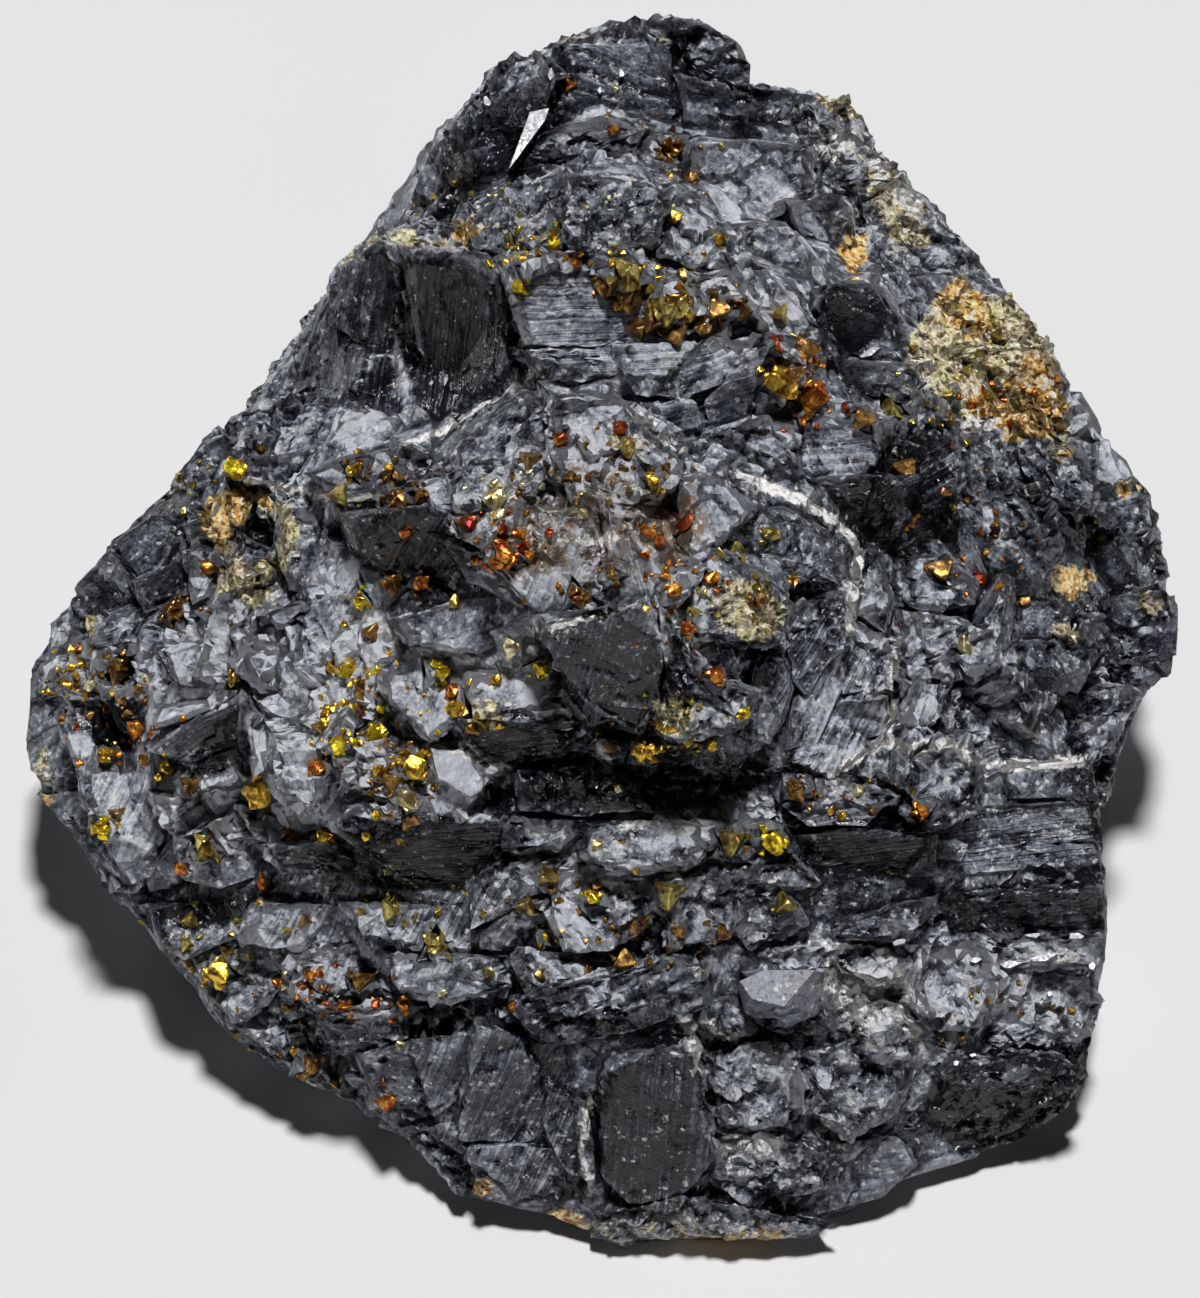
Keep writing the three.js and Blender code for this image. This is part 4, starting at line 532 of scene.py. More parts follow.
def random_of(cells, seed, count=1):
    """Random values from 0 to 1 for whole-numbered cells, the same at every run."""
    columns = []
    for k in range(count):
        mixed = cells[:, 0] * 73856093 ^ cells[:, 1] * 19349663 ^ cells[:, 2] * 83492791
        mixed = (mixed ^ (seed * 2654435761 + k * 40503)) & 0xFFFFFFFF
        for _ in range(2):
            mixed = ((mixed ^ (mixed >> 16)) * 0x45D9F3B) & 0xFFFFFFFF
        columns.append((mixed ^ (mixed >> 16)) / 2.0**32)
    return np.stack(columns, axis=1)


def noise(points, size, seed):
    """Smooth random values from -1 to 1 that change over about that size."""
    at = points / size
    cell = np.floor(at).astype(np.int64)
    part = smoothstep(0.0, 1.0, at - cell)
    total = np.zeros(len(points))
    for corner in itertools.product((0, 1), repeat=3):
        weight = np.prod(np.where(corner, part, 1.0 - part), axis=1)
        total += weight * random_of(cell + np.array(corner), seed)[:, 0]
    return 2.0 * total - 1.0


def nearest_cells(points, size, seed):
    """The random cell that each place falls in: the offset from its middle, and its whole numbers."""
    at = points / size
    base = np.floor(at).astype(np.int64)
    nearest = np.full(len(points), np.inf)
    offset = np.zeros_like(points)
    cell = np.zeros_like(base)
    for step in itertools.product((-1, 0, 1), repeat=3):
        candidate = base + np.array(step)
        away = at - candidate - random_of(candidate, seed, 3)
        distance = (away * away).sum(axis=1)
        closer = distance < nearest
        nearest[closer] = distance[closer]
        offset[closer] = away[closer]
        cell[closer] = candidate[closer]
    return offset * size, cell


def patches(a, b, rows, soft=0.45, angular=False):
    """The summed strength of patches at each place: oval ones, or angular ones with five straight sides."""
    total = np.zeros(len(a))
    for middle_a, middle_b, wide, high, turn, strength in rows:
        c, s = math.cos(math.radians(turn)), math.sin(math.radians(turn))
        along = ((a - middle_a) * c + (b - middle_b) * s) / wide
        across = ((b - middle_b) * c - (a - middle_a) * s) / high
        if angular:
            seeded = np.random.default_rng(int(97 * abs(middle_a) + 1009 * abs(middle_b)))
            turns = (np.arange(5) + seeded.uniform(-0.3, 0.3, 5)) * 2 * math.pi / 5
            sides = zip(turns, seeded.uniform(0.75, 1.05, 5))
            reach = np.max([(along * math.cos(t) + across * math.sin(t)) / far for t, far in sides], axis=0)
        else:
            reach = np.sqrt(along * along + across * across)
        total += strength * (1.0 - smoothstep(1.0 - soft, 1.0 + soft, reach))
    return total


def inside_outline(a, b, corners):
    """How far each place lies inside a closed outline: below nought outside it."""
    inside = np.zeros(len(a), bool)
    for (a0, b0), (a1, b1) in zip(corners, (*corners[1:], corners[0])):
        crosses = (b0 > b) != (b1 > b)
        inside ^= crosses & (a < a0 + (a1 - a0) * (b - b0) / (b1 - b0 + 1e-9))
    return np.where(inside, 1.0, -1.0) * distance_to_path(a, b, (*corners, corners[0]))


def facet_share(a, b, corners):
    """1 on a single facet and 0 off it, with slightly ragged edges."""
    return smoothstep(-0.25, 0.25, inside_outline(a, b, corners))


def facet_patches(a, b, normals, rows, soft, spread):
    """Like patches, but each keeps mostly to the facet at its middle; spread is its share on the others."""
    result = np.zeros(len(a))
    facing = normals @ FACE_OUT > 0.1
    for row in rows:
        near = facing & (np.hypot(a - row[0], b - row[1]) < 1.5)
        facet = unit(normals[near].sum(axis=0))
        match = smoothstep(0.80, 0.93, normals @ facet)
        result += patches(a, b, (row,), soft, True) * (spread + (1.0 - spread) * match)
    return result


def distance_to_path(a, b, path):
    """How far each place lies from a line through some corners."""
    nearest = np.full(len(a), np.inf)
    for (a0, b0), (a1, b1) in zip(path, path[1:]):
        da, db = a1 - a0, b1 - b0
        t = np.clip(((a - a0) * da + (b - b0) * db) / (da * da + db * db), 0.0, 1.0)
        nearest = np.minimum(nearest, np.hypot(a - a0 - t * da, b - b0 - t * db))
    return nearest


# ---------------------------------------------------------------- the rock's mesh


def node_mesh(name):
    """A CAD node's merged corners in millimetres, and its triangles."""
    data = frame["nodes"][name].data
    data.calc_loop_triangles()
    corners = np.empty(len(data.vertices) * 3)
    data.vertices.foreach_get("co", corners)
    triangles = np.empty(len(data.loop_triangles) * 3, dtype=np.int32)
    data.loop_triangles.foreach_get("vertices", triangles)
    corners = np.round(corners.reshape(-1, 3) / MM, 4)
    merged, place = np.unique(corners, axis=0, return_inverse=True)
    triangles = place.reshape(-1)[triangles].reshape(-1, 3)
    distinct = (triangles != np.roll(triangles, 1, axis=1)).all(axis=1)
    return merged, triangles[distinct]


def face_normals(points, triangles):
    p, q, r = (points[triangles[:, k]] for k in range(3))
    return np.cross(q - p, r - p)


def vertex_normals(points, triangles):
    normals = face_normals(points, triangles)
    total = np.zeros_like(points)
    for k in range(3):
        for axis in range(3):
            total[:, axis] += np.bincount(triangles[:, k], normals[:, axis], len(points))
    return unit(total)


def edge_keys(triangles, count):
    """One whole number for each side of each triangle, the same for two triangles that share it."""
    ends = np.stack([triangles, np.roll(triangles, -1, axis=1)], axis=2).astype(np.int64)
    return ends.min(axis=2) * count + ends.max(axis=2)


def refine(points, triangles, edge_limit):
    """Halves the longest edges over their limit until none is left. All the triangles stay joined."""
    while True:
        keys = edge_keys(triangles, len(points))
        unique, where = np.unique(keys, return_inverse=True)
        where = where.reshape(-1, 3)
        first, second = unique // len(points), unique % len(points)
        length = np.linalg.norm(points[first] - points[second], axis=1)
        limit = np.full(len(unique), np.inf)
        np.minimum.at(limit, where, edge_limit(points, triangles)[:, None])
        longest = where[np.arange(len(where)), length[where].argmax(axis=1)]
        split = np.zeros(len(unique), bool)
        split[longest[length[longest] > limit[longest]]] = True
        if not split.any():
            return points, triangles
        middle = np.full(len(unique), -1)
        middle[split] = len(points) + np.arange(split.sum())
        points = np.concatenate([points, (points[first[split]] + points[second[split]]) / 2.0])
        triangles = split_triangles(triangles, middle[where])


def split_triangles(triangles, middles):
    """Cuts each triangle at the middles of its marked edges."""
    marked = middles >= 0
    count = marked.sum(axis=1)
    result = [triangles[count == 0]]
    for number in (1, 2, 3):
        chosen = count == number
        corners, mids, marks = triangles[chosen], middles[chosen], marked[chosen]
        # Turned so that the first edge is marked, and with two marked, the first two.
        turn = marks.argmax(axis=1)
        if number == 2:
            turn = (marks.argmin(axis=1) + 1) % 3
        order = (turn[:, None] + np.arange(3)) % 3
        p, q, r = np.take_along_axis(corners, order, axis=1).T
        pq, qr, rp = np.take_along_axis(mids, order, axis=1).T
        parts = {
            1: ((p, pq, r), (pq, q, r)),
            2: ((pq, q, qr), (p, pq, qr), (p, qr, r)),
            3: ((p, pq, rp), (pq, q, qr), (rp, qr, r), (pq, qr, rp)),
        }[number]
        result += [np.stack(part, axis=1) for part in parts]
    return np.concatenate(result)


def neighbour_mean(points, triangles, values):
    """The mean of a value over each corner's neighbours."""
    keys = np.unique(edge_keys(triangles, len(points)))
    first, second = keys // len(points), keys % len(points)
    total = np.zeros(values.shape)
    number = np.bincount(first, minlength=len(points)) + np.bincount(second, minlength=len(points))
    if values.ndim == 1:
        total = np.bincount(first, values[second], len(points))
        total += np.bincount(second, values[first], len(points))
        return total / np.maximum(number, 1)
    for axis in range(values.shape[1]):
        total[:, axis] = np.bincount(first, values[second, axis], len(points))
        total[:, axis] += np.bincount(second, values[first, axis], len(points))
    return total / np.maximum(number, 1)[:, None]


def rock_edge_limit(points, triangles):
    """How long an edge may be: short where the viewer sees it, longer behind."""
    facing = unit(face_normals(points, triangles)) @ FACE_OUT
    limits = np.where(facing > -0.12, FINE_EDGE, COARSE_EDGE)
    limits[points[triangles][:, :, 2].max(axis=1) < 0.05] = UNDERSIDE_EDGE
    return limits


def scratch_object(name, points, triangles, collection=None):
    """An object for a modifier to work on, in millimetres."""
    data = bpy.data.meshes.new(name)
    data.from_pydata(np.asarray(points).tolist(), [], np.asarray(triangles).tolist())
    piece = bpy.data.objects.new(name, data)
    (collection or bpy.context.scene.collection).objects.link(piece)
    return piece


def modified(piece):
    """The corners and triangles of an object as its modifiers leave it. The object is removed."""
    result = piece.evaluated_get(bpy.context.evaluated_depsgraph_get()).to_mesh()
    result.calc_loop_triangles()
    points = np.array([vertex.co[:] for vertex in result.vertices])
    triangles = np.array([triangle.vertices[:] for triangle in result.loop_triangles])
    bpy.data.meshes.remove(piece.data)
    return points, triangles


def rock_with_filled_seats():
    """The rock's mesh, with the hollow round each crystal closed, as the crystals have grown there."""
    fills = bpy.data.collections.new("fills")
    bpy.context.scene.collection.children.link(fills)
    for name in frame["nodes"]:
        if name != ROCK:
            points, triangles = node_mesh(name)
            corners = points + SEAT_FILL * vertex_normals(points, triangles)
            scratch_object(f"fill_{name}", *hull_shape(corners, 0.0), fills)
    rock = scratch_object("filling", *node_mesh(ROCK))
    union = rock.modifiers.new("fill", "BOOLEAN")
    union.operation = "UNION"
    union.operand_type = "COLLECTION"
    union.collection = fills
    union.solver = "MANIFOLD"
    points, triangles = modified(rock)
    for fill in list(fills.objects):
        bpy.data.meshes.remove(fill.data)
    bpy.data.collections.remove(fills)
    return points, triangles


def random_turns(values):
    """Rotation matrices from rows of three random values."""
    u, v, w = values.T
    v, w = 2 * math.pi * v, 2 * math.pi * w
    x, y = np.sqrt(1 - u) * np.sin(v), np.sqrt(1 - u) * np.cos(v)
    z, r = np.sqrt(u) * np.sin(w), np.sqrt(u) * np.cos(w)
    rows = (
        (1 - 2 * (y * y + z * z), 2 * (x * y - z * r), 2 * (x * z + y * r)),
        (2 * (x * y + z * r), 1 - 2 * (x * x + z * z), 2 * (y * z - x * r)),
        (2 * (x * z - y * r), 2 * (y * z + x * r), 1 - 2 * (x * x + y * y)),
    )
    return np.stack([np.stack(row, axis=1) for row in rows], axis=1)


def cleavage_directions(points, normals):
    """Each place's two nearest cleavage directions, and the first one's number.

    Sphalerite breaks along the planes of a dodecahedron.
    """
    plus = [(1, 1, 0), (1, -1, 0), (1, 0, 1), (1, 0, -1), (0, 1, 1), (0, 1, -1)]
    planes = unit(np.array(plus + [(-x, -y, -z) for x, y, z in plus], float))
    _, crystal = nearest_cells(points, CRYSTAL_SIZE, 70)
    turns = random_turns(random_of(crystal, 71, 3))
    directions = np.einsum("nij,kj->nki", turns, planes)
    facing = np.einsum("nki,ni->nk", directions, normals)
    order = np.argsort(-facing, axis=1)
    rows = np.arange(len(points))
    return directions[rows, order[:, 0]], directions[rows, order[:, 1]], order[:, 0]


def bent(points, size, seed):
    """The places shifted about by up to a third of that size, so that cells get uneven edges."""
    return points + 0.35 * size * np.stack([noise(points, 0.45 * size, seed + k) for k in range(3)], axis=1)


def cleaved(points, directions, number, strength):
    """The places snapped to cleavage steps, and a random value for each step."""
    facet = np.zeros(len(points))
    moved = points.copy()
    for level, (spacing, lobe, snap, contrast) in enumerate(CLEAVAGES):
        _, cell = nearest_cells(bent(points, lobe, 110 + 3 * level), lobe, 30 + level)
        values = random_of(cell, 33 + level, 2)
        height = (points * directions).sum(axis=1) / spacing + 1.1 * values[:, 0]
        step = np.floor(height)
        away = (step + 0.5 - height) * spacing * snap
        moved += directions * (away * strength)[:, None]
        key = np.stack([step.astype(np.int64), number + 20 * cell[:, 0], cell[:, 1]], axis=1)
        facet += (random_of(key, 36 + level)[:, 0] - 0.5) * contrast
    return moved, facet


def fracture_relief(points, roughness):
    """How far each place stands out from the plain form, and a random value for each crumb."""
    warped = points.copy()
    for axis in range(3):
        warped[:, axis] += 0.3 * noise(points, 1.6, 40 + axis)
    lift = np.zeros(len(points))
    facet = np.zeros(len(points))
    for level, (size, slope, step, contrast) in enumerate(FRACTURES):
        offset, cell = nearest_cells(warped, size, 10 + level)
        random_values = random_of(cell, 20 + level, 4)
        lean = unit(random_values[:, :3] - 0.5)
        lift += roughness * ((offset * lean).sum(axis=1) * slope + (random_values[:, 3] - 0.5) * step)
        facet += (random_values[:, 3] - 0.5) * contrast
    return lift, facet


def carve_pit(a, b):
    """How far the pit sinks each place."""
    middle_a, middle_b, radius, depth = PIT
    reach = np.hypot(a - middle_a, b - middle_b) / radius
    return -depth * (1.0 - smoothstep(0.55, 1.1, reach))


def across_lines(degrees):
    """The direction across growth lines that run at that angle to the face's right."""
    angle = math.radians(degrees)
    return math.cos(angle) * FACE_UP - math.sin(angle) * FACE_RIGHT


def striation_direction(second, normals, a, b):
    """The direction across each place's growth lines, its crystal's own or a chosen one; and where."""
    across = second.copy()
    chosen = np.zeros(len(a))
    for middle_a, middle_b, wide, high, turn, lines in STRIATIONS:
        row = (middle_a, middle_b, wide, high, turn, 1.0)
        inside = facet_patches(a, b, normals, (row,), 0.2, 0.0)
        across[inside > 0.3] = across_lines(lines)
        chosen = np.maximum(chosen, inside)
    for corners, _, _, lines, _, _ in FACETS:
        share = facet_share(a, b, corners) * (normals @ FACE_OUT > 0)
        if lines is not None:
            across[share > 0.5] = across_lines(lines)
        chosen = np.where(share > 0.5, 0.0 if lines is None else share, chosen)
    return across, chosen


def wobbled(points, a, b):
    """The places' a and b, shifted about so that patches get ragged edges."""
    shifts = [0.9 * noise(points, 2.2, seed) + 0.5 * noise(points, 0.8, seed + 2) for seed in (91, 92)]
    return a + shifts[0], b + shifts[1]


def concavity(points, triangles, normals, reach):
    """How hollow each place is, measured over that many rings of neighbours."""
    mean = points
    for _ in range(reach):
        mean = neighbour_mean(points, triangles, mean)
    return ((mean - points) * normals).sum(axis=1)


def rock_marks(points, triangles, normals, forms, a, b):
    """Named values on the rock's surface, for its material. The forms are the facets' directions."""
    front = smoothstep(-0.35, 0.05, forms @ FACE_OUT)
    ragged = wobbled(points, a, b)
    nearly = [value + 0.3 * (shifted - value) for value, shifted in zip((a, b), ragged)]
    seam = np.zeros(len(points))
    for width, path in PALE_SEAMS:
        away = distance_to_path(*nearly, path)
        seam = np.maximum(seam, 1.0 - smoothstep(0.30 * width, 0.80 * width, away))
    # The hollow mark darkens hollows and lightens ridges in the material: painted shade and painted
    # highlight.
    hollow = concavity(points, triangles, normals, 2)
    hidden = 0.6 * noise(points, 14.0, 95) * (1.0 - front)
    tone = facet_patches(*ragged, forms, TONES_WITH_PAINTED_LIGHT_AND_SHADE, 0.45, 0.5)
    for corners, facet_tone, *_ in FACETS:
        share = facet_share(*nearly, corners)
        tone += share * (facet_tone - tone)
    pit_a, pit_b, radius, _ = PIT
    from_pit = np.hypot(ragged[0] - pit_a, ragged[1] - pit_b)
    in_pit = 1.0 - smoothstep(radius - 0.2, radius + 0.4, from_pit)
    ring = (1.0 - in_pit) * (1.0 - smoothstep(radius + 1.4, radius + 2.8, from_pit))
    # Inside the pit the tone is lowered as well as carved: painted shade in the recess.
    return {
        "tone": front * (tone - 0.5 * in_pit) + hidden,
        "film": front * np.maximum(seam, patches(*ragged, PALE_PATCHES)),
        "ochre": front * (1.0 - in_pit) * patches(*ragged, OCHRE_PATCHES),
        "tan": front * (1.0 - in_pit) * np.maximum(ring, patches(*ragged, TAN_PATCHES)),
        "brown": front * patches(*ragged, BROWN_PATCHES),
        "hollow": np.clip(hollow * 8.0, -1.0, 1.0),
    }


def mesh_object(name, points, triangles, material, slot):
    """A named piece of the specimen from corners in millimetres."""
    data = bpy.data.meshes.new(name)
    data.from_pydata((np.asarray(points) * MM).tolist(), [], np.asarray(triangles).tolist())
    data.materials.append(material)
    data.shade_smooth()
    piece = bpy.data.objects.new(name, data)
    bpy.context.scene.collection.objects.link(piece)
    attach(piece, "root")
    return piece


def add_mark(piece, name, values):
    """Stores values at a piece's corners for its material: numbers, or vectors where they have rows."""
    kind, key = ("FLOAT", "value") if values.ndim == 1 else ("FLOAT_VECTOR", "vector")
    layer = piece.data.attributes.new(name, kind, "POINT")
    layer.data.foreach_set(key, values.astype(np.float32).ravel())


def thinned(points, triangles, number):
    """The same surface in about that many triangles, most of them where it is roughest."""
    piece = scratch_object("thinning", points, triangles)
    piece.modifiers.new("thin", "DECIMATE").ratio = number / len(triangles)
    return modified(piece)


def calm_and_grain(points, normals, a, b):
    """How smooth and how crumbly each place is: as chosen, and elsewhere by large random cells."""
    ragged = wobbled(points, a, b)
    calm = np.clip(facet_patches(a, b, normals, CALM_FACETS, 0.25, 0.15), 0.0, 0.94)
    for corners, _, smooth, *_ in FACETS:
        share = facet_share(a, b, corners) * (normals @ FACE_OUT > 0)
        calm += share * (smooth - calm)
    grain = np.clip(patches(*ragged, GRANULAR_PATCHES), 0.0, 1.0) * (1.0 - calm)
    _, cell = nearest_cells(bent(points, SMOOTH_CELL, 82), SMOOTH_CELL, 80)
    chance = random_of(cell, 81)[:, 0]
    return np.maximum(calm, 0.75 * (1.0 - grain) * smoothstep(0.40, 0.50, chance)), grain


def values_at(points, known, values):
    """The values of the nearest known places."""
    tree = KDTree(len(known))
    for index, place in enumerate(known.tolist()):
        tree.insert(place, index)
    tree.balance()
    return values[[tree.find(place)[1] for place in points.tolist()]]


def kept_inside(points, low, high):
    """The places drawn in towards the middle where they come near the box, and the underside left flat."""
    result = points.copy()
    for axis, side in ((0, -1.0), (0, 1.0), (1, -1.0), (1, 1.0), (2, 1.0)):
        wall = (low if side < 0 else high)[axis]
        depth = side * (wall - result[:, axis])
        drawn = BOX_MARGIN * np.exp(np.minimum(depth / BOX_MARGIN - 1.0, 0.0))
        result[:, axis] = np.where(depth < BOX_MARGIN, wall - side * drawn, result[:, axis])
    result[:, 2] = np.maximum(result[:, 2], low[2])
    return result


def tucked_foot(points, low, high):
    """How far the lowest rim draws in towards the middle, more in some places than in others."""
    inward = unit(((low + high) / 2 - points) * (1, 1, 0))
    depth = FOOT_DEPTH + FOOT_UNEVENNESS * noise(points, 9.0, 97)
    depth = (1.0 - smoothstep(0.0, FOOT_HEIGHT, points[:, 2])) * depth
    reach = np.linalg.norm(((low + high) / 2 - points)[:, :2], axis=1)
    return (inward * (depth * smoothstep(8.0, 20.0, reach))[:, None])[:, :2]


def facet_lift(normals, a, b):
    """How far the single facets rise and fall, each tilted its own way about its middle."""
    lift = np.zeros(len(a))
    for corners, _, _, _, rise_right, rise_up in FACETS:
        middle = np.mean(corners, axis=0)
        away = rise_right * (a - middle[0]) + rise_up * (b - middle[1])
        lift += facet_share(a, b, corners) * np.clip(away, -1.6, 1.6)
    return lift * smoothstep(0.1, 0.4, normals @ FACE_OUT)


def build_rock(material):
    """The rock with its broken relief and the values that its material reads."""
    points, triangles = rock_with_filled_seats()
    low, high = points.min(axis=0), points.max(axis=0)
    plain, triangles = refine(points, triangles, rock_edge_limit)
    forms = vertex_normals(plain, triangles)
    for _ in range(2):
        forms = unit(forms + neighbour_mean(plain, triangles, forms))
    a, b = seen_at(plain)
    calm, grain = calm_and_grain(plain, forms, a, b)
    # The relief fades out towards the underside, which stays flat.
    above = smoothstep(0.3, 5.0, plain[:, 2])
    first, second, number = cleavage_directions(plain, forms)
    moved, steps = cleaved(plain, first, number, (1.0 - calm) * (1.0 - 0.6 * grain) * above)
    lift, crumbs = fracture_relief(plain, (0.22 + 0.70 * grain) * (1.0 - calm) * above)
    lift += carve_pit(a, b) * smoothstep(-0.2, 0.2, forms @ FACE_OUT)
    lift += facet_lift(forms, a, b) * above
    across, lines = striation_direction(second, forms, a, b)
    facet = ((1.0 - grain) * steps + grain * crumbs) * (1.0 - 0.75 * calm)
    crease = np.clip(1.6 * concavity(plain, triangles, forms, 5), 0.0, 1.0)
    known = np.column_stack([forms, across, calm, grain, lines, facet, crease])

    # Thinning loses the values, so each corner that is left takes those of the nearest one before it.
    displaced = kept_inside(moved + forms * lift[:, None], low, high)
    displaced[:, :2] += tucked_foot(displaced, low, high)
    points, triangles = thinned(displaced, triangles, ROCK_TRIANGLES)
    known = values_at(points, displaced, known)
    forms, across = known[:, :3], known[:, 3:6]
    normals = vertex_normals(points, triangles)
    marks = rock_marks(points, triangles, normals, forms, *seen_at(points))
    marks.update(zip(("calm", "grain", "lines", "facet", "crease"), known[:, 6:].T))
    marks["across"] = across
    rock = mesh_object("sphalerite_rock", points, triangles, material, "sphalerite")
    rock.data.set_sharp_from_angle(angle=math.radians(ROCK_EDGE_ANGLE))
    for name, values in marks.items():
        add_mark(rock, name, values)
    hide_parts(ROCK)
    return points, triangles


# ---------------------------------------------------------------- materials


def new_material(name):
    material = bpy.data.materials.new(name)
    material.use_nodes = True
    tree = material.node_tree
    return material, tree, tree.nodes["Principled BSDF"]


def node(tree, kind, inputs=(), output=0, **settings):
    """Adds a shader node, sets or links its inputs and returns one of its outputs."""
    made = tree.nodes.new(kind)
    for key, value in settings.items():
        setattr(made, key, value)
    for key, value in dict(inputs).items():
        socket = made.inputs[key]
        if isinstance(value, bpy.types.NodeSocket):
            tree.links.new(value, socket)
        else:
            socket.default_value = value
    return made.outputs[output]


def math_node(tree, operation, first, second):
    return node(tree, "ShaderNodeMath", {0: first, 1: second}, operation=operation)


def vector_node(tree, operation, first, second):
    """A vector, or for a dot product its value."""
    output = "Value" if operation == "DOT_PRODUCT" else "Vector"
    inputs = {0: first, "Scale" if operation == "SCALE" else 1: second}
    return node(tree, "ShaderNodeVectorMath", inputs, output, operation=operation)


def mark(tree, name, output="Fac"):
    return node(tree, "ShaderNodeAttribute", output=output, attribute_name=name)


def millimetres(tree):
    """Places on the piece, counted in millimetres."""
    place = node(tree, "ShaderNodeTexCoord", output="Object")
    return vector_node(tree, "SCALE", place, 1.0 / MM)


def noise_node(tree, place, scale, detail=3.0, roughness=0.55):
    inputs = {"Vector": place, "Scale": scale, "Detail": detail, "Roughness": roughness}
    return node(tree, "ShaderNodeTexNoise", inputs, "Fac")


def ramp(tree, value, stops):
    """A colour ramp: stops are places and colours or grey values."""
    made = tree.nodes.new("ShaderNodeValToRGB")
    elements = made.color_ramp.elements
    for index, (place, colour) in enumerate(stops):
        element = elements[index] if index < 2 else elements.new(place)
        element.position = place
        rgb = (colour,) * 3 if isinstance(colour, (int, float)) else colour
        element.color = (*rgb, 1.0)
    tree.links.new(value, made.inputs[0])
    return made.outputs[0]


def mix_colour(tree, share, first, second):
    made = tree.nodes.new("ShaderNodeMix")
    made.data_type = "RGBA"
    for socket, value in ((made.inputs[0], share), (made.inputs[6], first), (made.inputs[7], second)):
        if isinstance(value, bpy.types.NodeSocket):
            tree.links.new(value, socket)
        else:
            socket.default_value = value if isinstance(value, float) else (*value, 1.0)
    return made.outputs[2]


def threshold(tree, value, low, high):
    """From 0 below low to 1 above high."""
    inputs = {"Value": value, "From Min": low, "From Max": high}
    return node(tree, "ShaderNodeMapRange", inputs, interpolation_type="SMOOTHSTEP")


def chips(tree, place, size):
    """Small flat facets about that size, each leaning its own way: height in millimetres, and tone."""
    cells = tree.nodes.new("ShaderNodeTexVoronoi")
    cells.inputs["Scale"].default_value = 1.0 / size
    tree.links.new(place, cells.inputs["Vector"])
    offset = vector_node(tree, "SUBTRACT", place, cells.outputs["Position"])
    lean = vector_node(tree, "SUBTRACT", cells.outputs["Color"], (0.5, 0.5, 0.5))
    height = vector_node(tree, "DOT_PRODUCT", offset, lean)
    tone = node(tree, "ShaderNodeSeparateColor", {0: cells.outputs["Color"]}, 0)
    return height, tone, cells.outputs["Distance"]


def add_bump(tree, shader, height, distance, strength=1.0):
    """Lets the light see a relief: a height that counts as that distance."""
    bump = node(tree, "ShaderNodeBump", {"Height": height, "Distance": distance, "Strength": strength})
    tree.links.new(bump, shader.inputs["Normal"])


def flaked(tree, place, stretch):
    """Places drawn out so that the cells of a texture lie along the growth lines."""
    across = mark(tree, "across", "Vector")
    along = vector_node(tree, "DOT_PRODUCT", place, across)
    shift = vector_node(tree, "SCALE", across, math_node(tree, "MULTIPLY", along, stretch))
    return vector_node(tree, "ADD", place, shift)


def striation_value(tree, place):
    """Fine straight lines along each face, by the direction across them."""
    bend = node(tree, "ShaderNodeTexNoise", {"Vector": place, "Scale": 0.4, "Detail": 0.0}, "Color")
    wavy = vector_node(tree, "ADD", place, vector_node(tree, "SCALE", bend, 0.42))
    across = vector_node(tree, "DOT_PRODUCT", wavy, mark(tree, "across", "Vector"))
    inputs = {"W": across, "Scale": 1.7, "Detail": 3.0, "Roughness": 0.7}
    lines = node(tree, "ShaderNodeTexNoise", inputs, "Fac", noise_dimensions="1D")
    return threshold(tree, lines, 0.34, 0.66)


def summed(tree, terms, start=0.0):
    """The sum of weighted values."""
    result = start
    for value, weight in terms:
        result = math_node(tree, "ADD", math_node(tree, "MULTIPLY", value, weight), result)
    return result


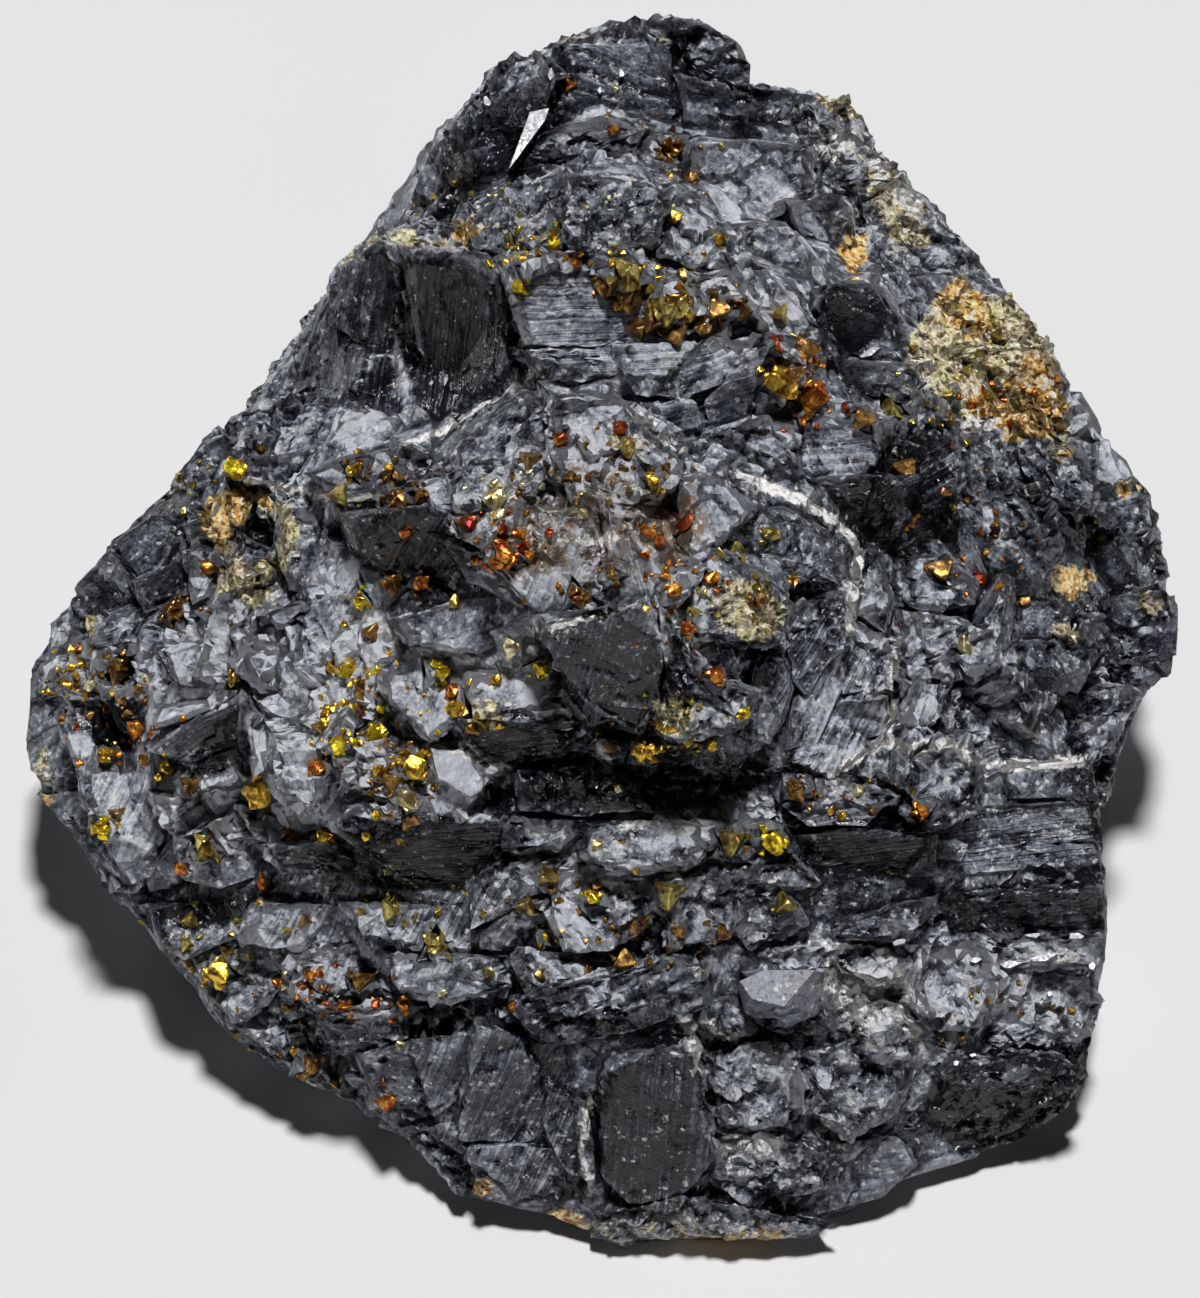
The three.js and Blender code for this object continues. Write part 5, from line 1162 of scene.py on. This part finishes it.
def rock_material():
    """Frosted and glassy cleavage with stains, films and specks, by the values stored on the mesh."""
    material, tree, shader = new_material("sphalerite")
    place = millimetres(tree)
    mottle = noise_node(tree, place, 0.9, 3.0, 0.68)
    fine = noise_node(tree, place, 3.0, 2.0, 0.65)
    broad = noise_node(tree, place, 0.16, 2.0)
    lines = striation_value(tree, place)
    flakes = [chips(tree, flaked(tree, place, 1.3), size) for size in (2.4, 1.0)]
    _, crumb_tone, crumb_distance = chips(tree, place, 0.42)

    # Frost: a place's own tone and its facet's, broken by lines, mottling and chips. The tone mark also
    # holds painted shade and painted light, and the hollow term is painted shade in hollows and a painted
    # highlight along ridges.
    centred = math_node(tree, "SUBTRACT", lines, 0.5)
    line_weight = summed(tree, ((mark(tree, "lines"), 0.12), (mark(tree, "grain"), -0.04)), 0.05)
    streaks = noise_node(tree, flaked(tree, place, 5.0), 0.5, 4.0, 0.68)
    flake_tones = summed(tree, ((flakes[0][1], 0.09), (flakes[1][1], 0.08)), -0.085)
    rough_here = summed(tree, ((mark(tree, "calm"), -0.85),), 1.0)
    streaks_here = summed(tree, ((mark(tree, "calm"), -0.12),), 0.285)
    terms = (
        (mark(tree, "tone"), 0.36), (mark(tree, "facet"), 0.20), (mottle, 0.28), (fine, 0.345),
        (broad, 0.312), (streaks, streaks_here), (crumb_tone, 0.10), (mark(tree, "hollow"), -0.10),
        (flake_tones, rough_here),
    )
    frost = math_node(tree, "ADD", summed(tree, terms), math_node(tree, "MULTIPLY", centred, line_weight))
    lightness = math_node(tree, "SUBTRACT", frost, 0.068)
    stops = (
        (0.20, (0.003, 0.0032, 0.0045)), (0.38, (0.0115, 0.0125, 0.0175)), (0.48, (0.052, 0.057, 0.073)),
        (0.60, (0.168, 0.181, 0.214)), (0.78, (0.47, 0.49, 0.54)),
    )
    colour = ramp(tree, lightness, stops)

    # Stains: brown film, tan crust and ochre, broken up by the grain.
    crumbs = summed(tree, ((noise_node(tree, place, 1.4, 3.0, 0.7), 0.75), (crumb_tone, 0.28)))
    yellow_crust = ramp(
        tree, crumbs,
        ((0.31, (0.02, 0.018, 0.014)), (0.40, (0.20, 0.17, 0.07)), (0.49, (0.52, 0.46, 0.21)),
         (0.62, (0.80, 0.75, 0.50))),
    )
    brown_crust = ramp(
        tree, crumbs,
        ((0.31, (0.02, 0.015, 0.012)), (0.42, (0.20, 0.14, 0.08)), (0.52, (0.50, 0.40, 0.25)),
         (0.65, (0.80, 0.73, 0.58))),
    )
    crust_kind = threshold(tree, noise_node(tree, place, 0.34, 2.0, 0.6), 0.46, 0.54)
    tan_colour = mix_colour(tree, crust_kind, yellow_crust, brown_crust)
    ochre_colour = ramp(
        tree, crumbs,
        ((0.31, (0.045, 0.022, 0.012)), (0.41, (0.32, 0.15, 0.035)), (0.51, (0.66, 0.40, 0.10)),
         (0.65, (0.86, 0.74, 0.42))),
    )
    for name, stain, spread in (
        ("brown", (0.19, 0.135, 0.09), 0.75), ("tan", tan_colour, 0.95), ("ochre", ochre_colour, 1.0),
    ):
        amount = summed(tree, ((mark(tree, name), spread),), mottle)
        share = threshold(tree, amount, 0.96, 1.22)
        colour = mix_colour(tree, share, colour, stain)

    # Pale films in the crevices, and a little dust in every hollow.
    film_noise = noise_node(tree, place, 1.9, 3.0, 0.7)
    dust_noise = threshold(tree, broad, 0.42, 0.62)
    dust = math_node(tree, "MULTIPLY", mark(tree, "crease"), dust_noise)
    film = summed(tree, ((mark(tree, "film"), 0.85), (dust, 0.65)), film_noise)
    film_share = math_node(tree, "MULTIPLY", threshold(tree, film, 0.88, 1.10), 0.95)
    film_colour = ramp(tree, crumbs, ((0.36, (0.42, 0.41, 0.41)), (0.60, (0.88, 0.86, 0.83))))
    colour = mix_colour(tree, film_share, colour, film_colour)

    # Bright specks of broken carbonate, and painted glints: pale specks, more where the surface is lighter,
    # standing in for tiny facets catching the light.
    crumb_middle = threshold(tree, crumb_distance, 0.30, 0.18)
    specks = math_node(tree, "MULTIPLY", crumb_middle, threshold(tree, crumb_tone, 0.80, 0.82))
    dusty = summed(tree, ((mark(tree, "grain"), 0.10), (mark(tree, "calm"), -0.07)), broad)
    speck_noise = threshold(tree, dusty, 0.56, 0.66)
    speck_and_painted_glint = math_node(tree, "MULTIPLY", specks, speck_noise)
    painted_glints = summed(tree, ((mark(tree, "grain"), 0.06), (lightness, 0.22), (fine, 0.25)), crumb_tone)
    speck_and_painted_glint = math_node(tree, "MAXIMUM", speck_and_painted_glint, threshold(tree, painted_glints, 1.17, 1.25))
    colour = mix_colour(tree, math_node(tree, "MULTIPLY", speck_and_painted_glint, 0.8), colour, (0.62, 0.61, 0.59))
    tree.links.new(colour, shader.inputs["Base Color"])

    earth = math_node(tree, "MAXIMUM", film_share, mark(tree, "tan"))
    shine = summed(tree, ((earth, 0.35), (fine, 0.2)), lightness)
    roughness = node(
        tree, "ShaderNodeMapRange",
        {"Value": shine, "From Min": 0.42, "From Max": 0.85, "To Min": 0.13, "To Max": 0.60},
    )
    tree.links.new(roughness, shader.inputs["Roughness"])
    shader.inputs["IOR"].default_value = 1.47

    grain = summed(tree, ((mark(tree, "grain"), 0.7),), 0.30)
    rough_height = math_node(tree, "MULTIPLY", noise_node(tree, place, 3.2, 2.0, 0.6), grain)
    line_height = summed(tree, ((mark(tree, "lines"), 0.12),), 0.06)
    height = math_node(tree, "ADD", math_node(tree, "MULTIPLY", lines, line_height), rough_height)
    chip_grain = summed(tree, ((mark(tree, "calm"), -1.0), (mark(tree, "tan"), -0.5)), 1.0)
    chip_grain = math_node(tree, "MAXIMUM", chip_grain, 0.0)
    for chip_height, *_ in flakes:
        chips_here = math_node(tree, "MULTIPLY", chip_height, chip_grain)
        height = summed(tree, ((chips_here, 2.6),), height)
    add_bump(tree, shader, height, 0.28 * MM)
    return material


def crystal_material(name):
    """Brassy metal in one of the tints, patchy and tarnished in places."""
    light, dark, tarnish, rough = TINTS[name]
    material, tree, shader = new_material(f"chalcopyrite_{name}")
    place = millimetres(tree)
    patchy = noise_node(tree, place, 0.9, 3.0, 0.6)
    fine = noise_node(tree, place, 5.0, 3.0, 0.6)
    colour = ramp(tree, patchy, ((0.42, dark), (0.54, light)))
    share = threshold(tree, noise_node(tree, place, 0.8, 3.0, 0.6), 0.50, 0.62)
    colour = mix_colour(tree, math_node(tree, "MULTIPLY", share, 0.9), colour, tarnish)
    tree.links.new(colour, shader.inputs["Base Color"])
    shader.inputs["Metallic"].default_value = 0.85
    shader.inputs["IOR"].default_value = 2.0
    inputs = {"Value": fine, "From Min": 0.3, "From Max": 0.7, "To Min": rough, "To Max": rough + 0.14}
    tree.links.new(node(tree, "ShaderNodeMapRange", inputs), shader.inputs["Roughness"])
    height = summed(tree, ((fine, 0.035), (chips(tree, place, 0.55)[0], 0.35)))
    add_bump(tree, shader, height, MM)
    return material


def floor_material():
    material, tree, shader = new_material("pale_table")
    place = millimetres(tree)
    broad = noise_node(tree, place, 0.01, 2.0)
    colour = ramp(tree, broad, ((0.3, (0.645, 0.645, 0.652)), (0.7, (0.675, 0.675, 0.675))))
    tree.links.new(colour, shader.inputs["Base Color"])
    shader.inputs["Roughness"].default_value = 0.8
    shader.inputs["Specular IOR Level"].default_value = 0.1
    grain = noise_node(tree, place, 1.2, 3.0)
    add_bump(tree, shader, grain, 0.05 * MM, 0.2)
    return material


# ---------------------------------------------------------------- crystals


def sphenoid_corners(cut):
    """Corners of a sphenoid about one across, one tip up, each tip cut off."""
    tips = np.array(((0, 0, 0.62), (0, 0.64, -0.20), (-0.56, -0.32, -0.20), (0.56, -0.32, -0.20)))
    return np.array([tips[i] + cut * (tips[j] - tips[i]) for i in range(4) for j in range(4) if j != i])


def hull_shape(corners, bevel):
    """The bevelled convex hull of some corners: merged corners and triangles."""
    shape = bmesh.new()
    for corner in corners:
        shape.verts.new(corner)
    result = bmesh.ops.convex_hull(shape, input=shape.verts)
    spare = [e for e in result["geom_interior"] if isinstance(e, bmesh.types.BMVert)]
    bmesh.ops.delete(shape, geom=spare, context="VERTS")
    bmesh.ops.dissolve_limit(shape, angle_limit=0.03, verts=shape.verts, edges=shape.edges)
    if bevel > 0:
        bmesh.ops.bevel(shape, geom=shape.edges[:], offset=bevel, segments=1, affect="EDGES")
    bmesh.ops.triangulate(shape, faces=shape.faces)
    shape.verts.index_update()
    points = np.array([vertex.co[:] for vertex in shape.verts])
    triangles = [[vertex.index for vertex in face.verts] for face in shape.faces]
    shape.free()
    # The hull's faces come in a new order at each run, so they are put in one order.
    triangles = np.array(sorted(np.roll(row, -np.argmin(row)).tolist() for row in triangles))
    return points, triangles


def grain_shapes(rng):
    """Grain shapes about one across: sphenoids with cut tips, and broken many-sided nuggets."""
    sphenoids, nuggets = [], []
    for cut in (0.10, 0.14, 0.18, 0.22, 0.26, 0.30):
        corners = sphenoid_corners(cut) * 1.15 + rng.uniform(-0.05, 0.05, (12, 3))
        sphenoids.append(hull_shape(corners, 0.04))
    for _ in range(10):
        corners = unit(rng.normal(size=(16, 3))) * rng.uniform(0.38, 0.58, (16, 1))
        nuggets.append(hull_shape(corners * (1.0, rng.uniform(0.7, 1.0), rng.uniform(0.6, 0.8)), 0.03))
    return sphenoids, nuggets


def joined(parts):
    points, triangles, count = [], [], 0
    for part_points, part_triangles in parts:
        points.append(part_points)
        triangles.append(part_triangles + count)
        count += len(part_points)
    return np.concatenate(points), np.concatenate(triangles)


def one_of(shapes, rng):
    """One of the shapes, chosen by chance."""
    return shapes[rng.integers(len(shapes))]


class RockSurface:
    """Finds places on the finished rock."""

    def __init__(self, points, triangles):
        self.tree = BVHTree.FromPolygons(points.tolist(), triangles.tolist())

    def seen(self, a, b):
        """The place that the viewer sees there, and its normal; nothing where the viewer looks past."""
        place, normal, _, _ = self.tree.ray_cast(Vector(EYE), Vector(sight_line(a, b)))
        if place is None:
            return None
        return np.array(place), np.array(normal)


def placed(shape, width, place, outward, rng, sink):
    """A grain shape at a place, part sunk, with its third axis near the outward direction."""
    points, triangles = shape
    axis = unit(outward + rng.normal(scale=0.25, size=3))
    turn = Matrix.Rotation(rng.uniform(0, 2 * math.pi), 3, "Z")
    pose = Vector(axis).to_track_quat("Z", "Y").to_matrix() @ turn
    return points * width @ np.array(pose).T + place - axis * width * sink, triangles


def build_grains(surface, materials, shapes):
    """The small grains, each with smaller ones beside it, and the swarms: one mesh for each colour."""
    rng = np.random.default_rng(GRAIN_SEED)
    sphenoids, nuggets = shapes
    parts = {tone: [] for tone in TINTS}

    def add(tone, a, b, width, sink):
        hit = surface.seen(a, b)
        if hit is None:
            return
        place, normal = hit
        outward = unit(normal + 0.6 * FACE_OUT)
        kinds = sphenoids if tone in ANGULAR and rng.random() < 0.6 else nuggets
        shape = one_of(kinds, rng)
        parts[tone].append(placed(shape, width, place, outward, rng, sink))

    for tone, rows in GRAINS.items():
        for a, b, width in rows:
            add(tone, a, b, GRAIN_GROWTH * width, -0.08)
            for _ in range(rng.integers(1, 4)):
                angle, far = rng.uniform(0, 2 * math.pi), width * rng.uniform(0.4, 0.7)
                small = width * rng.uniform(0.4, 0.75)
                add(tone, a + far * math.cos(angle), b + far * math.sin(angle), small, 0.08)
    for tone, a, b, wide, high, number in SWARMS:
        for _ in range(number):
            offset = rng.normal(scale=0.5, size=2)
            width = SPECK_WIDTH + SPECK_SPREAD * rng.random() ** 1.6
            add(tone, a + wide * offset[0], b + high * offset[1], width, 0.0)
    for tone, shapes_of_tone in parts.items():
        points, triangles = joined(shapes_of_tone)
        grains = mesh_object(f"grains_{tone}", points, triangles, materials[tone], f"chalcopyrite_{tone}")
        grains.data.set_sharp_from_angle(angle=math.radians(GRAIN_EDGE_ANGLE))


def grown_together(rng, kinds, number, ground, outward, wide, far, small, sink):
    """Grains side by side; far and small are the ranges of their distance and size, as shares of wide."""
    parts = []
    for _ in range(number):
        turn, away = rng.uniform(0, 2 * math.pi), rng.uniform(*far) * wide
        place = ground + away * (math.cos(turn) * FACE_RIGHT + math.sin(turn) * FACE_UP)
        size = rng.uniform(*small) * wide
        parts.append(placed(one_of(kinds, rng), size, place, outward, rng, sink))
    return parts


def build_crystals(surface, materials, shapes):
    """The crystals with a place in the model, each a few grown together, with smaller grains round them."""
    rng = np.random.default_rng(CRYSTAL_SEED)
    sphenoids, nuggets = shapes
    slots = {row["node"]: row["material_slot"] for row in frame["record"]["subparts"]}
    for name in sorted(frame["nodes"]):
        if name == ROCK:
            continue
        tone = slots[name].removeprefix("chalcopyrite_")
        corners, _ = node_mesh(name)
        middle = corners.mean(axis=0)
        a, b = seen_at(middle)
        hit = surface.seen(a, b)
        ground = middle if hit is None or np.linalg.norm(hit[0] - middle) > 2.0 else hit[0]
        outward = unit(FACE_OUT + (0 if hit is None else 0.5 * hit[1]))
        size = float(np.mean([np.ptp(corners @ FACE_RIGHT), np.ptp(corners @ FACE_UP)]))
        wide = 0.95 * size
        parts = []
        if tone in ANGULAR and size > CLUSTER_SIZE:
            parts.append(placed(one_of(nuggets, rng), 0.8 * wide, ground, outward, rng, 0.0))
            parts += grown_together(
                rng, sphenoids, 4, ground, outward, wide, (0.15, 0.32), (0.4, 0.6), -0.35
            )
        elif tone in ANGULAR:
            parts.append(placed(one_of(sphenoids, rng), 1.1 * wide, ground, outward, rng, 0.0))
        else:
            parts.append(placed(one_of(nuggets, rng), wide, ground, outward, rng, -0.14))
            parts += grown_together(
                rng, nuggets, 3, ground, outward, wide, (0.25, 0.4), (0.45, 0.65), -0.2
            )
        for _ in range(rng.integers(1, 4)):
            turn, far = rng.uniform(0, 2 * math.pi), rng.uniform(0.45, 0.7) * wide
            grown = surface.seen(a + far * math.cos(turn), b + far * math.sin(turn))
            if grown is None or np.linalg.norm(grown[0] - middle) > size:
                continue
            kinds = sphenoids if rng.random() < 0.3 else nuggets
            shape = one_of(kinds, rng)
            parts.append(placed(shape, rng.uniform(0.25, 0.45) * wide, grown[0], outward, rng, -0.05))
        crystal = mesh_object(f"crystal_{name}", *joined(parts), materials[tone], slots[name])
        crystal.data.set_sharp_from_angle(angle=math.radians(CRYSTAL_EDGE_ANGLE))
        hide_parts(name)


def key_direction():
    """Where the key light stands."""
    tilt, turn = math.radians(KEY_TILT), math.radians(KEY_TURN)
    sideways = math.cos(turn) * FACE_UP + math.sin(turn) * FACE_RIGHT
    return math.cos(tilt) * FACE_OUT + math.sin(tilt) * sideways


def blade(surface, face, foot, share, tilt):
    """A small block grown out of the rock, whose face is turned so that it mirrors the key light.

    The share says how much of the rock under the face lies behind it, and the tilt how far the face turns
    from the light's mirror image.
    """
    middle = np.mean(face, axis=0)
    places = [surface.seen(a, b) for a, b in (*face, *foot, middle)]
    places = np.array([hit[0] for hit in places if hit is not None])
    normal = unit(unit(EYE - places[-1]) + key_direction() + tilt * FACE_RIGHT)
    level = np.quantile(places @ normal, share) + BLADE_RISE
    front = []
    for a, b in face:
        sight = sight_line(a, b)
        front.append(EYE + sight * (level - EYE @ normal) / (sight @ normal))
    back = places[len(face):-1] - 0.8 * normal
    return hull_shape([*front, *back], 0.0)


def build_blades(surface, material):
    """The polished facets, as small blocks that turn a bright face to the viewer."""
    rng = np.random.default_rng(GLINT_SEED)
    parts, tones = [], []
    rows = list(BLADES)
    for a, b, wide, high, turn in GLINTS:
        turns = rng.uniform(-0.5, 0.5, 5) + np.arange(5) * 2 * math.pi / 5
        c, s = math.cos(math.radians(turn)), math.sin(math.radians(turn))
        along, up = 0.5 * wide * np.cos(turns), 0.5 * high * np.sin(turns)
        face = [(a + x * c - y * s, b + x * s + y * c) for x, y in zip(along, up)]
        rows.append((face, face, 0.0, 0.85, 0.0))
    for face, foot, tone, share, tilt in rows:
        parts.append(blade(surface, face, foot, share, tilt))
        tones += [tone] * len(parts[-1][0])
    blades = mesh_object("sphalerite_blades", *joined(parts), material, "sphalerite")
    blades.data.set_sharp_from_angle(angle=math.radians(BLADE_EDGE_ANGLE))
    tones = np.array(tones)
    for name, values in (("tone", tones), ("calm", 0 * tones + 1.0), ("grain", 0 * tones - 0.5)):
        add_mark(blades, name, values)


# ---------------------------------------------------------------- the studio


def build_table():
    half = TABLE_SIZE / 2
    corners = [(-half, -half, 0), (half, -half, 0), (half, half, 0), (-half, half, 0)]
    data = bpy.data.meshes.new("table")
    data.from_pydata(corners, [], [(0, 1, 2, 3)])
    data.materials.append(floor_material())
    table = bpy.data.objects.new("table", data)
    bpy.context.scene.collection.objects.link(table)


def sun(name, towards, power, width):
    """A distant light that stands in that direction."""
    data = bpy.data.lights.new(name, "SUN")
    data.energy = power
    data.angle = math.radians(width)
    light = bpy.data.objects.new(name, data)
    light.rotation_euler = Vector(towards).to_track_quat("Z", "Y").to_euler()
    bpy.context.scene.collection.objects.link(light)


def build_lights():
    """A key light high above the viewer, low soft lights on every side, and a pale studio wall."""
    sun("key", key_direction(), KEY_POWER, KEY_WIDTH)
    for name, (azimuth, power) in SIDE_LIGHTS.items():
        x, y = math.sin(math.radians(azimuth)), -math.cos(math.radians(azimuth))
        sun(name, (x, y, math.tan(math.radians(SIDE_ELEVATION))), power, SIDE_WIDTH)
    world = bpy.data.worlds.new("studio")
    world.use_nodes = True
    tree = world.node_tree
    direction = node(tree, "ShaderNodeTexCoord", output="Generated")
    height = node(tree, "ShaderNodeSeparateXYZ", {0: direction}, 2)
    tree.links.new(ramp(tree, height, WALL_LIGHT), tree.nodes["Background"].inputs["Color"])
    bpy.context.scene.world = world
    bpy.context.scene.view_settings.view_transform = "Standard"


def build_camera():
    data = bpy.data.cameras.new("viewer")
    data.sensor_width = 36.0
    data.lens = data.sensor_width * EYE_DISTANCE / FRAME_HEIGHT
    data.shift_y = FRAME_RISE / FRAME_HEIGHT
    camera = bpy.data.objects.new("viewer", data)
    camera.location = EYE * MM
    camera.rotation_euler = Vector(-FACE_OUT).to_track_quat("-Z", "Y").to_euler()
    bpy.context.scene.collection.objects.link(camera)
    bpy.context.scene.camera = camera


crystal_materials = {tone: crystal_material(tone) for tone in TINTS}
sphalerite = rock_material()
rock_points, rock_triangles = build_rock(sphalerite)
rock_surface = RockSurface(rock_points, rock_triangles)
crystal_shapes = grain_shapes(np.random.default_rng(SHAPE_SEED))
build_crystals(rock_surface, crystal_materials, crystal_shapes)
build_grains(rock_surface, crystal_materials, crystal_shapes)
build_blades(rock_surface, sphalerite)
build_table()
build_lights()
build_camera()
